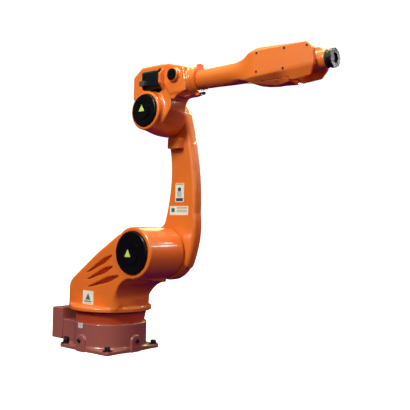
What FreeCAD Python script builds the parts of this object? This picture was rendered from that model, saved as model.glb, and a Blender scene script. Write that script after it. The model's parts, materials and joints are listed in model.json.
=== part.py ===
"""Six-axis floor-standing industrial robot arm, 20 kg class.

Origin: on the turning axis of the column, on the underside of the base plate.
+X points from the column to the tool, +Y to the side that carries the link arm, +Z up.
All sizes are millimetres and live in the spreadsheet "Sizes".
"""
import FreeCAD, Part
import os
import math

import Sketcher
from FreeCAD import Placement, Rotation, Vector

SIZES = [
    # fits shared by the whole arm
    ("seat_gap", 0.3, "gap at a seat or a turning face"),
    # base plate and base body
    ("plate_side", 370, "square base plate"),
    ("plate_thick", 20, "base plate thickness"),
    ("plate_corner", 14, "corner radius of the plate"),
    ("anchor_pitch", 322, "anchor hole centres, both ways"),
    ("anchor_bore", 22, "anchor hole for M20"),
    ("anchor_room", 50, "room round each anchor bolt head"),
    ("body_radius", 190, "round part of the base body"),
    ("body_top", 143, "top of the base body"),
    ("flank_half", 159, "half width across the flat flanks"),
    ("lug_width", 62, "jacking lug width"),
    ("lug_reach", 199, "lug face from the axis"),
    ("lug_root", 150, "lug root from the axis"),
    ("lug_top", 84, "top of the lug"),
    # connector box behind the base
    ("box_rear", 282, "rear face of the connector box"),
    ("box_front", 194, "front face of the connector box"),
    ("box_bottom", 36, "underside of the box"),
    ("box_top", 198, "top of the box"),
    ("box_edge", 4, "edge radius of the box"),
    ("panel_thick", 6, "rear connector panel thickness"),
    ("panel_margin", 14, "panel inset from the box edge"),
    ("panel_edge", 8, "corner radius of the panel"),
    ("plug_width", 62, "large connector hood width"),
    ("plug_height", 44, "large connector hood height"),
    ("plug_depth", 26, "large connector hood depth"),
    ("plug_offset", 62, "connector hood from the middle"),
    ("plug_level", 128, "connector hood centre height"),
    ("plug_edge", 5, "connector hood edge radius"),
    ("gland_radius", 15, "round gland radius"),
    ("gland_depth", 20, "round gland depth"),
    ("gland_offset", 84, "air gland from the middle"),
    ("gland_level", 70, "gland centre height"),
    # reducer ring and turret
    ("ring_low_radius", 177, "reducer ring radius at the base"),
    ("ring_top_radius", 187, "reducer ring radius at the top"),
    ("ring_top", 198, "top of the reducer ring"),
    ("flange_radius", 214, "turret flange radius"),
    ("flange_bottom", 204, "underside of the turret flange"),
    ("flange_thick", 28, "turret flange thickness"),
    ("spigot_radius", 120, "turret spigot on the reducer"),
    ("turret_rear", 176, "rear of the turret from the axis"),
    ("turret_rear_level", 300, "top of the upright rear wall"),
    ("turret_shoulder_x", 100, "shoulder point behind the axis"),
    ("turret_shoulder_level", 402, "shoulder point height"),
    ("turret_shoulder_arc", 190, "shoulder arc radius"),
    ("turret_back_x", 214, "where the back meets the drum, ahead"),
    ("turret_back_level", 596, "where the back meets the drum, height"),
    ("turret_back_arc", 2600, "long arc of the back"),
    ("turret_neck_x", 176, "narrowest neck ahead of the axis"),
    ("turret_neck_level", 268, "narrowest neck height"),
    ("turret_neck_arc", 190, "concave neck arc"),
    ("turret_neck_inset", 66, "neck inset from the near face"),
    ("turret_front_x", 204, "front of the inset neck"),
    ("turret_front_arc", 150, "concave arc of the inset neck"),
    ("turret_near", 150, "near face from the mid plane"),
    ("turret_far", 90, "far face from the mid plane"),
    ("turret_corner", 40, "upright corner radius of the turret"),
    ("slot_depth", 26, "depth of the weight-saving slots"),
    ("slot_width", 22, "slot width at the wide end"),
    ("slot_tip", 5, "slot width at the tip"),
    ("slot_length", 224, "slot length"),
    ("slot_first_x", 162, "upper slot, wide end ahead of the column axis"),
    ("slot_first_level", 494, "upper slot, wide end height"),
    ("slot_first_slope", 26, "upper slot, degrees down to the rear"),
    ("slot_second_x", 170, "middle slot, wide end ahead of the column axis"),
    ("slot_second_level", 438, "middle slot, wide end height"),
    ("slot_second_slope", 21.7, "middle slot, degrees down to the rear"),
    ("slot_third_x", 198, "lower slot, wide end ahead of the column axis"),
    ("slot_third_level", 386, "lower slot, wide end height"),
    ("slot_third_slope", 17.5, "lower slot, degrees down to the rear"),
    ("stop_width", 34, "turning stop width"),
    ("stop_depth", 34, "turning stop depth"),
    ("stop_overhang", 14, "turning stop beyond the flange rim"),
    ("stop_height", 20, "turning stop height"),
    ("stop_angle", 80, "turning stop direction"),
    ("stop_edge", 4, "turning stop edge radius"),
    # shoulder drum
    ("shoulder_x", 302, "shoulder axis ahead of the column axis"),
    ("shoulder_level", 509, "shoulder axis height"),
    ("drum_radius", 125, "shoulder drum radius"),
    ("drum_rim", 20, "rim left round the motor cap"),
    ("cap_recess", 16, "depth of the cap recess"),
    ("cap_dome", 10, "how far the cap stands out of the recess"),
    ("cap_edge", 6, "cap edge radius"),
    ("cap_button", 0.52, "raised disc of the cap as a share of its radius"),
    ("cap_button_height", 5, "raised disc height"),
    # link arm
    ("joint_flange_thick", 8, "output flange between drum and arm"),
    ("arm_thick", 66, "link arm thickness"),
    ("arm_length", 697, "shoulder axis to elbow axis"),
    ("arm_hub_radius", 140, "lower hub radius"),
    ("arm_head_radius", 74, "upper hub radius"),
    ("arm_back_low_x", 26, "rear edge behind the shoulder axis, at the hub"),
    ("arm_back_low", 136, "rear edge start above the shoulder axis"),
    ("arm_back_mid_x", 17, "rear edge ahead of the shoulder axis, at mid height"),
    ("arm_back_mid", 392, "mid height of the rear edge"),
    ("arm_back_low_arc", 900, "rear edge lower arc"),
    ("arm_back_top_arc", 640, "rear edge upper arc"),
    ("arm_front_low_x", 124, "front edge ahead of the axis, at the hub"),
    ("arm_front_low", 60, "front edge start below the shoulder axis"),
    ("arm_front_mid_x", 168, "front edge ahead of the axis, middle"),
    ("arm_front_mid", 200, "front edge middle height"),
    ("arm_front_top_x", 94, "front edge ahead of the axis, top"),
    ("arm_front_low_arc", 420, "front edge lower arc"),
    ("arm_front_top_arc", 1500, "front edge upper arc"),
    ("hub_cover_thick", 7, "plain cover on the outer side of a hub"),
    ("hub_cover_margin", 26, "cover radius inside the hub radius"),
    ("rest_x", 360, "elbow stop block middle ahead of the column axis"),
    ("rest_width", 76, "elbow stop block width"),
    ("rest_reach", 37, "elbow stop block reach under the drum"),
    ("rest_height", 54, "elbow stop block height"),
    ("rest_gap", 6, "elbow stop block below the drum"),
    ("rest_edge", 5, "elbow stop block edge radius"),
    # elbow housing
    ("elbow_x", 314, "elbow axis ahead of the column axis"),
    ("elbow_drum_radius", 95, "elbow drum radius"),
    ("elbow_near", 100, "near face of the elbow drum"),
    ("elbow_far", 85, "far face of the elbow drum"),
    ("elbow_flare_radius", 112, "elbow drum radius at the reducer"),
    ("elbow_flare_start", 40, "near face of the wide end of the drum"),
    ("elbow_rim", 15, "rim left round the elbow cap"),
    ("roll_offset", 135, "forearm axis above the elbow axis"),
    ("housing_half", 72, "elbow housing half width"),
    ("housing_top", 87, "elbow housing top above the forearm axis"),
    ("housing_nose_top", 60, "housing top above the forearm axis at its front"),
    ("housing_level", 24, "level stretch of the housing top"),
    ("housing_rear", 412, "elbow housing rear face"),
    ("housing_front", 530, "start of the round nose"),
    ("housing_nose", 566, "front face of the round nose"),
    ("nose_radius", 64, "radius of the round nose"),
    ("web_arc", 190, "concave arc between the elbow drum and the nose"),
    ("web_half", 56, "web half width"),
    ("motor_side", 92, "forearm motor body, square"),
    ("motor_length", 119, "forearm motor length"),
    ("motor_edge", 16, "motor edge radius"),
    ("motor_y", -44, "forearm motor axis, sideways"),
    ("motor_rise", 16, "forearm motor axis above the forearm axis"),
    ("motor_flange_thick", 14, "motor flange thickness"),
    ("motor_flange_size", 108, "octagonal motor flange across flats"),
    ("socket_width", 34, "motor connector width"),
    ("socket_height", 20, "motor connector height"),
    ("socket_depth", 24, "motor connector reach"),
    ("socket_edge", 4, "motor connector edge radius"),
    ("cover_rear", 104, "rear of the rounded rear cover"),
    ("cover_low", -22, "underside of the rear cover from the forearm axis"),
    ("cover_top", 121, "top of the rear cover above the forearm axis"),
    ("cover_near", 16, "near face of the rear cover"),
    ("cover_far", 82, "far face of the rear cover"),
    ("cover_slope", 63, "sloped top corner of the rear cover, along"),
    ("cover_slope_drop", 45, "sloped top corner of the rear cover, down"),
    ("cover_crown", 312, "front end of the level top of the rear cover"),
    ("cover_front_top", 84, "front edge of the rear cover above the forearm axis"),
    ("cover_edge", 14, "rear cover edge radius"),
    ("boss_x", 479, "side boss position"),
    ("boss_rise", 24, "side boss above the forearm axis"),
    ("boss_radius", 33, "side boss radius"),
    ("boss_reach", 90, "side boss face from the mid plane"),
    ("boss_cap_radius", 27, "black cap on the side boss"),
    ("boss_cap_thick", 5, "black cap thickness"),
    # forearm
    ("collar_radius", 61, "forearm collar radius"),
    ("collar_length", 22, "forearm collar length"),
    ("collar_lug", 26, "collar lug width"),
    ("collar_lug_reach", 74, "collar lug from the forearm axis"),
    ("buffer_radius", 8, "rubber buffer radius"),
    ("buffer_length", 22, "rubber buffer length"),
    ("tube_rear_radius", 46, "forearm tube radius at the collar"),
    ("tube_front_radius", 50, "forearm tube radius at the flare"),
    ("tube_front", 834, "start of the flare"),
    ("head_rear", 940, "rear of the wrist head"),
    ("head_front", 1108, "front wall of the wrist head"),
    ("head_top", 70, "wrist head above the forearm axis"),
    ("head_low", 60, "wrist head below the forearm axis"),
    ("head_half", 62, "wrist head half width"),
    ("head_edge", 9, "wrist head edge radius"),
    ("fork_front", 1234, "front of the fork arms"),
    ("fork_bottom_front", 1180, "front of the underside of the fork arms"),
    ("fork_top_front", 1198, "front of the top of the fork arms"),
    ("fork_low", 67, "underside of the fork arms below the axis"),
    ("fork_nose_low", 30, "lower end of the fork front below the axis"),
    ("fork_nose_top", 40, "upper end of the fork front above the axis"),
    ("wrist_x", 1190, "wrist axis ahead of the column axis"),
    ("side_cover_thick", 5, "side cover thickness"),
    ("side_cover_front", 1232, "front of the side covers"),
    ("side_cover_nose", 32, "slant of the front edge of the side covers"),
    ("side_cover_top", 66, "top of the side covers above the axis"),
    ("side_cover_low", 34, "bottom of the side covers below the axis"),
    ("side_cover_slant", 14, "rise of the lower edge towards the front"),
    ("keel_low", 83, "bottom cover below the axis"),
    ("keel_half", 40, "half width of the flat bottom"),
    ("keel_slope", 70, "sloped rear of the bottom cover"),
    ("keel_nose", 28, "sloped front of the bottom cover"),
    # wrist and tool flange
    ("wrist_radius", 41, "wrist housing radius about its axis"),
    ("wrist_half", 45.5, "wrist housing half width"),
    ("barrel_radius", 40, "wrist barrel radius"),
    ("barrel_front", 1266, "front face of the wrist barrel"),
    ("seal_radius", 36, "seal ring radius"),
    ("seal_length", 5, "seal ring length"),
    ("tool_radius", 40, "tool flange radius"),
    ("tool_waist", 34, "waist of the tool flange hub"),
    ("tool_hub", 12, "length of the tool flange hub"),
    ("tool_plate", 16, "tool flange plate thickness"),
    ("pilot_radius", 20, "pilot bore radius"),
    ("pilot_depth", 8, "pilot bore depth"),
    ("tool_pitch", 63, "tool bolt circle diameter"),
    ("tool_bolt", 5, "tool bolt hole, tapped M6"),
    ("tool_bolt_depth", 12, "tool bolt hole depth"),
    ("tool_bolts", 4, "tool bolt holes"),
]

AXIS_TURN = {
    "X": Rotation(Vector(0, 1, 0), 90),
    "Y": Rotation(Vector(1, 0, 0), -90),
    "Z": Rotation(Vector(0, 0, 1), 0),
}
OCTAGON_CORNER = 2 - math.sqrt(2)  # corner of a regular octagon as a share of its half width
PLANE_ROLE = {"Z": "XY_Plane", "Y": "XZ_Plane", "X": "YZ_Plane"}


class Size:
    """A number together with the spreadsheet expression that it comes from."""

    def __init__(self, value, text):
        self.value = float(value)
        self.text = text

    def __add__(self, other):
        other = as_size(other)
        return Size(self.value + other.value, f"({self.text} + {other.text})")

    def __sub__(self, other):
        other = as_size(other)
        return Size(self.value - other.value, f"({self.text} - {other.text})")

    def __mul__(self, other):
        other = as_size(other)
        return Size(self.value * other.value, f"({self.text} * {other.text})")

    def __truediv__(self, other):
        other = as_size(other)
        return Size(self.value / other.value, f"({self.text} / {other.text})")

    def __neg__(self):
        return Size(-self.value, f"(0 - {self.text})")


def as_size(value):
    return value if isinstance(value, Size) else Size(value, repr(value))


class Sheet:
    """Spreadsheet of driving dimensions, read by name."""

    def __init__(self, doc):
        self.cells = doc.addObject("Spreadsheet::Sheet", "Sizes")
        for row, (name, value, meaning) in enumerate(SIZES, start=1):
            self.cells.set(f"A{row}", str(value))
            self.cells.set(f"B{row}", meaning)
            self.cells.setAlias(f"A{row}", name)
        doc.recompute()

    def __getattr__(self, name):
        return Size(getattr(self.cells, name), f"Sizes.{name}")


DOC = FreeCAD.newDocument("RobotArm")
S = Sheet(DOC)
ZERO = as_size(0)
HUB_OVERLAP = 0.96  # how far an outline runs into the round hub that it joins, as a share of its radius


# ---------------------------------------------------------------- helpers

def bind(item, prop, size):
    item.setExpression(prop, as_size(size).text)


def place(item, x, y, z):
    for letter, size in zip("xyz", (x, y, z)):
        bind(item, f"Placement.Base.{letter}", size)


def box(name, low, high):
    item = DOC.addObject("Part::Box", name)
    for prop, start, end in zip(("Length", "Width", "Height"), low, high):
        bind(item, prop, as_size(end) - start)
    place(item, *low)
    return item


def cylinder(name, axis, radius, start, length):
    item = DOC.addObject("Part::Cylinder", name)
    bind(item, "Radius", radius)
    bind(item, "Height", length)
    item.Placement = Placement(Vector(), AXIS_TURN[axis])
    place(item, *start)
    return item


def cone(name, axis, first, second, start, length):
    item = DOC.addObject("Part::Cone", name)
    bind(item, "Radius1", first)
    bind(item, "Radius2", second)
    bind(item, "Height", length)
    item.Placement = Placement(Vector(), AXIS_TURN[axis])
    place(item, *start)
    return item


def fuse(name, pieces):
    item = DOC.addObject("Part::MultiFuse", name)
    item.Shapes = pieces
    item.Refine = True
    return item


def cut(name, base, tool):
    item = DOC.addObject("Part::Cut", name)
    item.Base = base
    item.Tool = tool
    item.Refine = True
    return item


def origin_plane(body, axis):
    role = PLANE_ROLE[axis]
    return next(item for item in body.Origin.OriginFeatures if item.Role == role)


def arc_centre(start, end, radius, side):
    """Centre of the arc from start to end; side is +1 with the centre on the left."""
    middle = (start + end) * 0.5
    chord = end - start
    rise = math.sqrt(max(radius ** 2 - (chord.Length / 2) ** 2, 0.0))
    left = Vector(-chord.y, chord.x, 0).normalize()
    return middle + left * (rise * side)


def draw_outline(sketch, points):
    """Closed outline of (x, y) or (x, y, arc radius, side of the centre) corners.

    The arc given with a corner runs from that corner to the next one.
    """
    spots = [Vector(point[0].value, point[1].value, 0) for point in points]
    for number, point in enumerate(points):
        start = spots[number]
        end = spots[(number + 1) % len(spots)]
        if len(point) == 2:
            sketch.addGeometry(Part.LineSegment(start, end), False)
            continue
        radius, side = point[2], point[3]
        centre = arc_centre(start, end, radius.value, side)
        first = math.atan2(start.y - centre.y, start.x - centre.x)
        last = math.atan2(end.y - centre.y, end.x - centre.x)
        if side < 0:
            first, last = last, first
        circle = Part.Circle(centre, Vector(0, 0, 1), radius.value)
        sketch.addGeometry(Part.ArcOfCircle(circle, first, last), False)
    for number, point in enumerate(points):
        backward = len(point) == 4 and point[3] < 0
        head = 2 if backward else 1
        follower = (number + 1) % len(points)
        tail = 1 if backward else 2
        joined = 2 if len(points[follower]) == 4 and points[follower][3] < 0 else 1
        sketch.addConstraint(Sketcher.Constraint("Coincident", number, tail, follower, joined))
        for kind, size in zip(("DistanceX", "DistanceY"), point[:2]):
            limit = Sketcher.Constraint(kind, -1, 1, number, head, size.value)
            tie(sketch, sketch.addConstraint(limit), size)
        if len(point) == 4:
            limit = Sketcher.Constraint("Radius", number, point[2].value)
            tie(sketch, sketch.addConstraint(limit), point[2])


def tie(sketch, number, size):
    if size.text.strip("()").replace(".", "").isdigit():
        return
    sketch.setExpression(f"Constraints[{number}]", size.text)


def draw_circle(sketch, x, y, radius):
    number = sketch.addGeometry(Part.Circle(Vector(x.value, y.value, 0), Vector(0, 0, 1), radius.value))
    for kind, size in zip(("DistanceX", "DistanceY"), (x, y)):
        limit = Sketcher.Constraint(kind, -1, 1, number, 3, size.value)
        tie(sketch, sketch.addConstraint(limit), size)
    tie(sketch, sketch.addConstraint(Sketcher.Constraint("Radius", number, radius.value)), radius)


def new_body(name):
    return DOC.addObject("PartDesign::Body", name)


def new_sketch(body, name, axis, level):
    """Sketch across an axis of the body, at a level along it."""
    sketch = body.newObject("Sketcher::SketchObject", name)
    sketch.AttachmentSupport = [(origin_plane(body, axis), "")]
    sketch.MapMode = "FlatFace"
    offset = -as_size(level) if axis == "Y" else as_size(level)
    bind(sketch, "AttachmentOffset.Base.z", offset)
    return sketch


def pad(body, name, axis, start, end, draw):
    """Pad what draw(sketch) draws from start to end along the axis."""
    sketch = new_sketch(body, name + "_sketch", axis, start)
    draw(sketch)
    feature = body.newObject("PartDesign::Pad", name)
    feature.Profile = sketch
    bind(feature, "Length", as_size(end) - start)
    feature.Reversed = axis == "Y"
    DOC.recompute()
    return feature


def pocket(body, name, axis, start, end, draw):
    """Cut what draw(sketch) draws from start to end along the axis."""
    before = body.Shape.Volume
    sketch = new_sketch(body, name + "_sketch", axis, start)
    draw(sketch)
    feature = body.newObject("PartDesign::Pocket", name)
    feature.Profile = sketch
    bind(feature, "Length", as_size(end) - start)
    feature.Reversed = axis != "Y"
    DOC.recompute()
    if body.Shape.Volume >= before:
        raise RuntimeError(f"{name} removes nothing")
    return feature


def dress(body, kind, name, size, chosen):
    """Fillet or Chamfer of the edges for which chosen(edge) is true."""
    DOC.recompute()
    tip = body.Tip
    names = [
        f"Edge{number}"
        for number, edge in enumerate(tip.Shape.Edges, start=1)
        if chosen(edge)
    ]
    feature = body.newObject("PartDesign::" + kind, name)
    feature.Base = (tip, names)
    bind(feature, "Radius" if kind == "Fillet" else "Size", size)
    DOC.recompute()
    return feature


def runs_along(axis):
    """Test for straight edges along an axis."""
    number = "XYZ".index(axis)

    def chosen(edge):
        if edge.Curve.TypeId != "Part::GeomLine":
            return False
        return abs(abs(edge.Curve.Direction[number]) - 1) < 1e-6
    return chosen


def lies_at(axis, level):
    """Test for edges that lie wholly at one level of an axis."""
    number = "XYZ".index(axis)
    low, high = ("XMin", "YMin", "ZMin")[number], ("XMax", "YMax", "ZMax")[number]

    def chosen(edge):
        size = edge.BoundBox
        near = abs(getattr(size, low) - level) < 1e-3
        return near and abs(getattr(size, high) - level) < 1e-3
    return chosen


def outline(points):
    return lambda sketch: draw_outline(sketch, points)


def circle(x, y, radius):
    return lambda sketch: draw_circle(sketch, as_size(x), as_size(y), as_size(radius))


def rectangle(left, right, low, high):
    corners = [(left, low), (right, low), (right, high), (left, high)]
    return outline([(as_size(x), as_size(y)) for x, y in corners])


def rounded_box(name, axis, span, across, upright, edge):
    """Body with a rectangular section; the edges along the axis are rounded."""
    body = new_body(name)
    pad(body, name + "_pad", axis, span[0], span[1], rectangle(*across, *upright))
    dress(body, "Fillet", name + "_round", edge, runs_along(axis))
    return body


# ---------------------------------------------------------------- base

def lug(body, axis, side):
    """Arched lug: straight sides from the plate, round top."""
    label = f"lug_{axis}_{'high' if side > 0 else 'low'}"
    start, end = sorted((S.lug_root * side, S.lug_reach * side), key=lambda size: size.value)
    half = S.lug_width / 2
    spring = S.lug_top - half
    pad(body, label, axis, start, end, rectangle(-half, half, S.plate_thick / 2, spring))
    pad(body, label + "_arch", axis, start, end, circle(0, spring, half))


def anchor_hole(body, name, side_x, side_y):
    """Hole through the plate, with room for the bolt head cut into the flank over a rear hole."""
    x, y = S.anchor_pitch / 2 * side_x, S.anchor_pitch / 2 * side_y
    if side_x < 0:
        pocket(body, name + "_room", "Z", S.plate_thick, S.box_bottom, circle(x, y, S.anchor_room / 2))
    pocket(body, name, "Z", ZERO, S.plate_thick, circle(x, y, S.anchor_bore / 2))


def base_casting():
    """Plate, round body with flat flanks that run back to the connector box, and three lugs."""
    body = new_body("base_casting")
    half = S.plate_side / 2
    pad(body, "base_plate", "Z", ZERO, S.plate_thick, rectangle(-half, half, -half, half))
    dress(body, "Fillet", "base_plate_corner", S.plate_corner, runs_along("Z"))
    pad(body, "base_round", "Z", S.plate_thick / 2, S.body_top, circle(0, 0, S.body_radius))
    pad(body, "base_flanks", "Z", S.plate_thick / 2, S.box_bottom,
        rectangle(-S.plate_side / 2, ZERO, -S.flank_half, S.flank_half))
    pad(body, "base_duct", "Z", S.box_bottom, S.body_top,
        rectangle(-S.box_front, ZERO, -S.flank_half, S.flank_half))
    for axis, side in (("Y", -1), ("Y", 1), ("X", 1)):
        lug(body, axis, side)
    for name_x, side_x in (("rear", -1), ("front", 1)):
        for name_y, side_y in (("near", -1), ("far", 1)):
            anchor_hole(body, f"anchor_{name_x}_{name_y}", side_x, side_y)
    return body


def connector_box():
    return rounded_box("connector_box", "X", (-S.box_rear, -S.box_front),
                       (-S.flank_half, S.flank_half), (S.box_bottom, S.box_top), S.box_edge)


def connector_panel():
    across = S.flank_half - S.panel_margin
    return rounded_box("connector_panel", "X", (-S.box_rear - S.panel_thick, -S.box_rear),
                       (-across, across),
                       (S.box_bottom + S.panel_margin, S.box_top - S.panel_margin), S.panel_edge)


def panel_face():
    return -S.box_rear - S.panel_thick


def connector_hood(name, side):
    middle = S.plug_offset * side
    half_width = S.plug_width / 2
    half_height = S.plug_height / 2
    return rounded_box(name, "X", (panel_face() - S.plug_depth, panel_face()),
                       (middle - half_width, middle + half_width),
                       (S.plug_level - half_height, S.plug_level + half_height), S.plug_edge)


def gland(name, offset):
    return cylinder(name, "X", S.gland_radius, (panel_face() - S.gland_depth, offset, S.gland_level),
                    S.gland_depth)


def reducer_ring():
    return cone("reducer_ring", "Z", S.ring_low_radius, S.ring_top_radius,
                (0, 0, S.body_top), S.ring_top - S.body_top)


# ---------------------------------------------------------------- turret

def turret_outline():
    """Side view of the turret, from the foot round the back to the drum and down the neck."""
    foot = S.flange_bottom + S.flange_thick / 2
    return [
        (-S.turret_rear, foot),
        (S.turret_neck_x, foot),
        (S.turret_neck_x, S.turret_neck_level, S.turret_neck_arc, -1),
        (S.shoulder_x, S.shoulder_level - S.drum_radius * HUB_OVERLAP),
        (S.shoulder_x, S.shoulder_level),
        (S.turret_back_x, S.turret_back_level, S.turret_back_arc, 1),
        (-S.turret_shoulder_x, S.turret_shoulder_level, S.turret_shoulder_arc, 1),
        (-S.turret_rear, S.turret_rear_level),
    ]


def neck_outline():
    """Inset neck in front of the turret, under the drum."""
    foot = S.flange_bottom + S.flange_thick / 2
    top = S.shoulder_level - S.drum_radius * HUB_OVERLAP
    return [
        (ZERO, foot),
        (S.turret_front_x, foot),
        (S.turret_front_x, S.turret_neck_level, S.turret_front_arc, -1),
        (S.shoulder_x + S.drum_radius / 4, top),
        (S.shoulder_x, S.shoulder_level),
        (ZERO, S.turret_rear_level),
    ]


def slot_outline(head_x, head_level, slope):
    """Tapered slot that falls to the rear from its wide end near the drum."""
    wide, narrow = S.slot_width / 2, S.slot_tip / 2
    turn = math.radians(180 + slope.value)
    along = Vector(math.cos(turn), math.sin(turn), 0)
    across = Vector(-along.y, along.x, 0)

    def corner(distance, offset):
        return (head_x + distance * along.x + offset * across.x,
                head_level + distance * along.y + offset * across.y)
    return [
        corner(ZERO, -wide),
        corner(ZERO, wide),
        corner(S.slot_length, narrow),
        corner(S.slot_length, -narrow),
    ]


def turret_casting():
    """One casting: flange, hollow-looking column and the drum that holds the shoulder motor."""
    body = new_body("turret_casting")
    pad(body, "turret_wall", "Y", -S.turret_near, S.turret_far, outline(turret_outline()))
    upright = runs_along("Z")
    dress(body, "Fillet", "turret_rear_corner", S.turret_corner,
          lambda edge: upright(edge) and edge.BoundBox.XMax < 0)
    pad(body, "turret_neck", "Y", -(S.turret_near - S.turret_neck_inset), S.turret_far,
        outline(neck_outline()))
    pad(body, "turret_foot", "Z", S.flange_bottom, S.flange_bottom + S.flange_thick,
        circle(0, 0, S.flange_radius))
    pad(body, "turret_drum", "Y", -S.turret_near, S.turret_far,
        circle(S.shoulder_x, S.shoulder_level, S.drum_radius))
    pocket(body, "turret_cap_recess", "Y", -S.turret_near, -S.turret_near + S.cap_recess,
           circle(S.shoulder_x, S.shoulder_level, S.drum_radius - S.drum_rim))
    slots = (("first", S.slot_first_x, S.slot_first_level, S.slot_first_slope),
             ("second", S.slot_second_x, S.slot_second_level, S.slot_second_slope),
             ("third", S.slot_third_x, S.slot_third_level, S.slot_third_slope))
    for label, *head in slots:
        pocket(body, "turret_slot_" + label, "Y", -S.turret_near, -S.turret_near + S.slot_depth,
               outline(slot_outline(*head)))
    pad(body, "turret_spigot", "Z", S.ring_top + S.seat_gap, S.flange_bottom + S.flange_thick,
        circle(0, 0, S.spigot_radius))
    return body


def turret_stop():
    """Bracket on the rim of the turret flange that meets the turning stop."""
    body = new_body("turret_stop")
    half = S.stop_width / 2
    outer = S.flange_radius + S.stop_overhang
    top = S.flange_bottom + S.flange_thick
    pad(body, "turret_stop_pad", "Z", top, top + S.stop_height,
        rectangle(outer - S.stop_depth, outer, -half, half))
    dress(body, "Fillet", "turret_stop_round", S.stop_edge, runs_along("Z"))
    body.Placement = Placement(Vector(), Rotation(Vector(0, 0, 1), S.stop_angle.value))
    body.setExpression("Placement.Rotation.Angle", S.stop_angle.text)
    return body


def motor_cap(name, x, level, face, radius):
    """Black cap seated in a drum recess, with a raised disc in its middle."""
    body = new_body(name)
    outer = radius - S.seat_gap
    pad(body, name + "_disc", "Y", -face - S.cap_dome, -face + S.cap_recess, circle(x, level, outer))
    dress(body, "Fillet", name + "_round", S.cap_edge, lies_at("Y", -(face + S.cap_dome).value))
    pad(body, name + "_button", "Y", -face - S.cap_dome - S.cap_button_height,
        -face, circle(x, level, outer * S.cap_button))
    return body


# ---------------------------------------------------------------- link arm

def elbow_level():
    return S.shoulder_level + S.arm_length


def arm_near():
    return S.turret_far + S.seat_gap + S.joint_flange_thick


def arm_outline():
    """Side view of the link arm between the two hubs; it bows forward."""
    x, level = S.shoulder_x, S.shoulder_level
    top = elbow_level()
    return [
        (x - S.arm_back_low_x, level),
        (x + S.arm_front_low_x, level - S.arm_front_low, S.arm_front_low_arc, 1),
        (x + S.arm_front_mid_x, level + S.arm_front_mid, S.arm_front_top_arc, 1),
        (x + S.arm_front_top_x, top),
        (S.elbow_x - S.arm_head_radius * HUB_OVERLAP, top, S.arm_back_top_arc, -1),
        (x + S.arm_back_mid_x, level + S.arm_back_mid, S.arm_back_low_arc, -1),
        (x - S.arm_back_low_x, level + S.arm_back_low),
    ]


def link_arm_casting():
    body = new_body("link_arm_casting")
    near, far = arm_near(), arm_near() + S.arm_thick
    pad(body, "link_arm_web", "Y", near, far, outline(arm_outline()))
    pad(body, "link_arm_hub", "Y", near, far, circle(S.shoulder_x, S.shoulder_level, S.arm_hub_radius))
    pad(body, "link_arm_head", "Y", near, far, circle(S.elbow_x, elbow_level(), S.arm_head_radius))
    return body


def joint_flange(name, x, level, radius, drum_face):
    """Output flange that fills the space between a drum and the link arm."""
    start = drum_face + S.seat_gap
    return cylinder(name, "Y", radius, (x, start, level), arm_near() - start)


def hub_cover(name, x, level, radius):
    return cylinder(name, "Y", radius - S.hub_cover_margin,
                    (x, arm_near() + S.arm_thick, level), S.hub_cover_thick)


def elbow_rest():
    """Block on the link arm, under the elbow drum, that the elbow stops against."""
    half = S.rest_width / 2
    top = elbow_level() - S.elbow_flare_radius - S.rest_gap
    return rounded_box("elbow_stop_block", "Y", (arm_near() - S.rest_reach, arm_near()),
                       (S.rest_x - half, S.rest_x + half), (top - S.rest_height, top), S.rest_edge)


# ---------------------------------------------------------------- elbow

def roll_level():
    return elbow_level() + S.roll_offset


def elbow_casting():
    """Drum about the elbow axis, with the housing of the forearm axis above it."""
    body = new_body("elbow_casting")
    axis_level = elbow_level()
    pad(body, "elbow_drum", "Y", -S.elbow_near, S.elbow_far,
        circle(S.elbow_x, axis_level, S.elbow_drum_radius))
    pad(body, "elbow_flare", "Y", S.elbow_flare_start, S.elbow_far,
        circle(S.elbow_x, axis_level, S.elbow_flare_radius))
    pad(body, "elbow_web", "Y", -S.web_half, S.web_half, outline([
        (S.elbow_x - S.elbow_drum_radius * HUB_OVERLAP, axis_level),
        (S.elbow_x + S.elbow_drum_radius * HUB_OVERLAP, axis_level, S.web_arc, -1),
        (S.housing_nose, roll_level() - S.nose_radius * HUB_OVERLAP),
        (S.housing_front, roll_level()),
        (S.housing_rear, roll_level()),
        (S.housing_rear, roll_level() - S.nose_radius),
    ]))
    pad(body, "elbow_housing", "Y", -S.housing_half, S.housing_half, outline([
        (S.housing_rear, roll_level() - S.nose_radius),
        (S.housing_front, roll_level() - S.nose_radius),
        (S.housing_front, roll_level() + S.housing_nose_top),
        (S.housing_rear + S.housing_level, roll_level() + S.housing_top),
        (S.housing_rear, roll_level() + S.housing_top),
    ]))
    pad(body, "elbow_nose", "X", S.housing_rear, S.housing_nose, circle(0, roll_level(), S.nose_radius))
    pad(body, "elbow_boss", "Y", -S.boss_reach, ZERO,
        circle(S.boss_x, roll_level() + S.boss_rise, S.boss_radius))
    pocket(body, "elbow_cap_recess", "Y", -S.elbow_near, -S.elbow_near + S.cap_recess,
           circle(S.elbow_x, axis_level, S.elbow_drum_radius - S.elbow_rim))
    return body


def motor_level():
    return roll_level() + S.motor_rise


def forearm_motor():
    half = S.motor_side / 2
    rear = S.housing_rear - S.motor_flange_thick - S.motor_length
    return rounded_box("forearm_motor", "X", (rear, S.housing_rear - S.motor_flange_thick),
                       (S.motor_y - half, S.motor_y + half),
                       (motor_level() - half, motor_level() + half), S.motor_edge)


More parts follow.
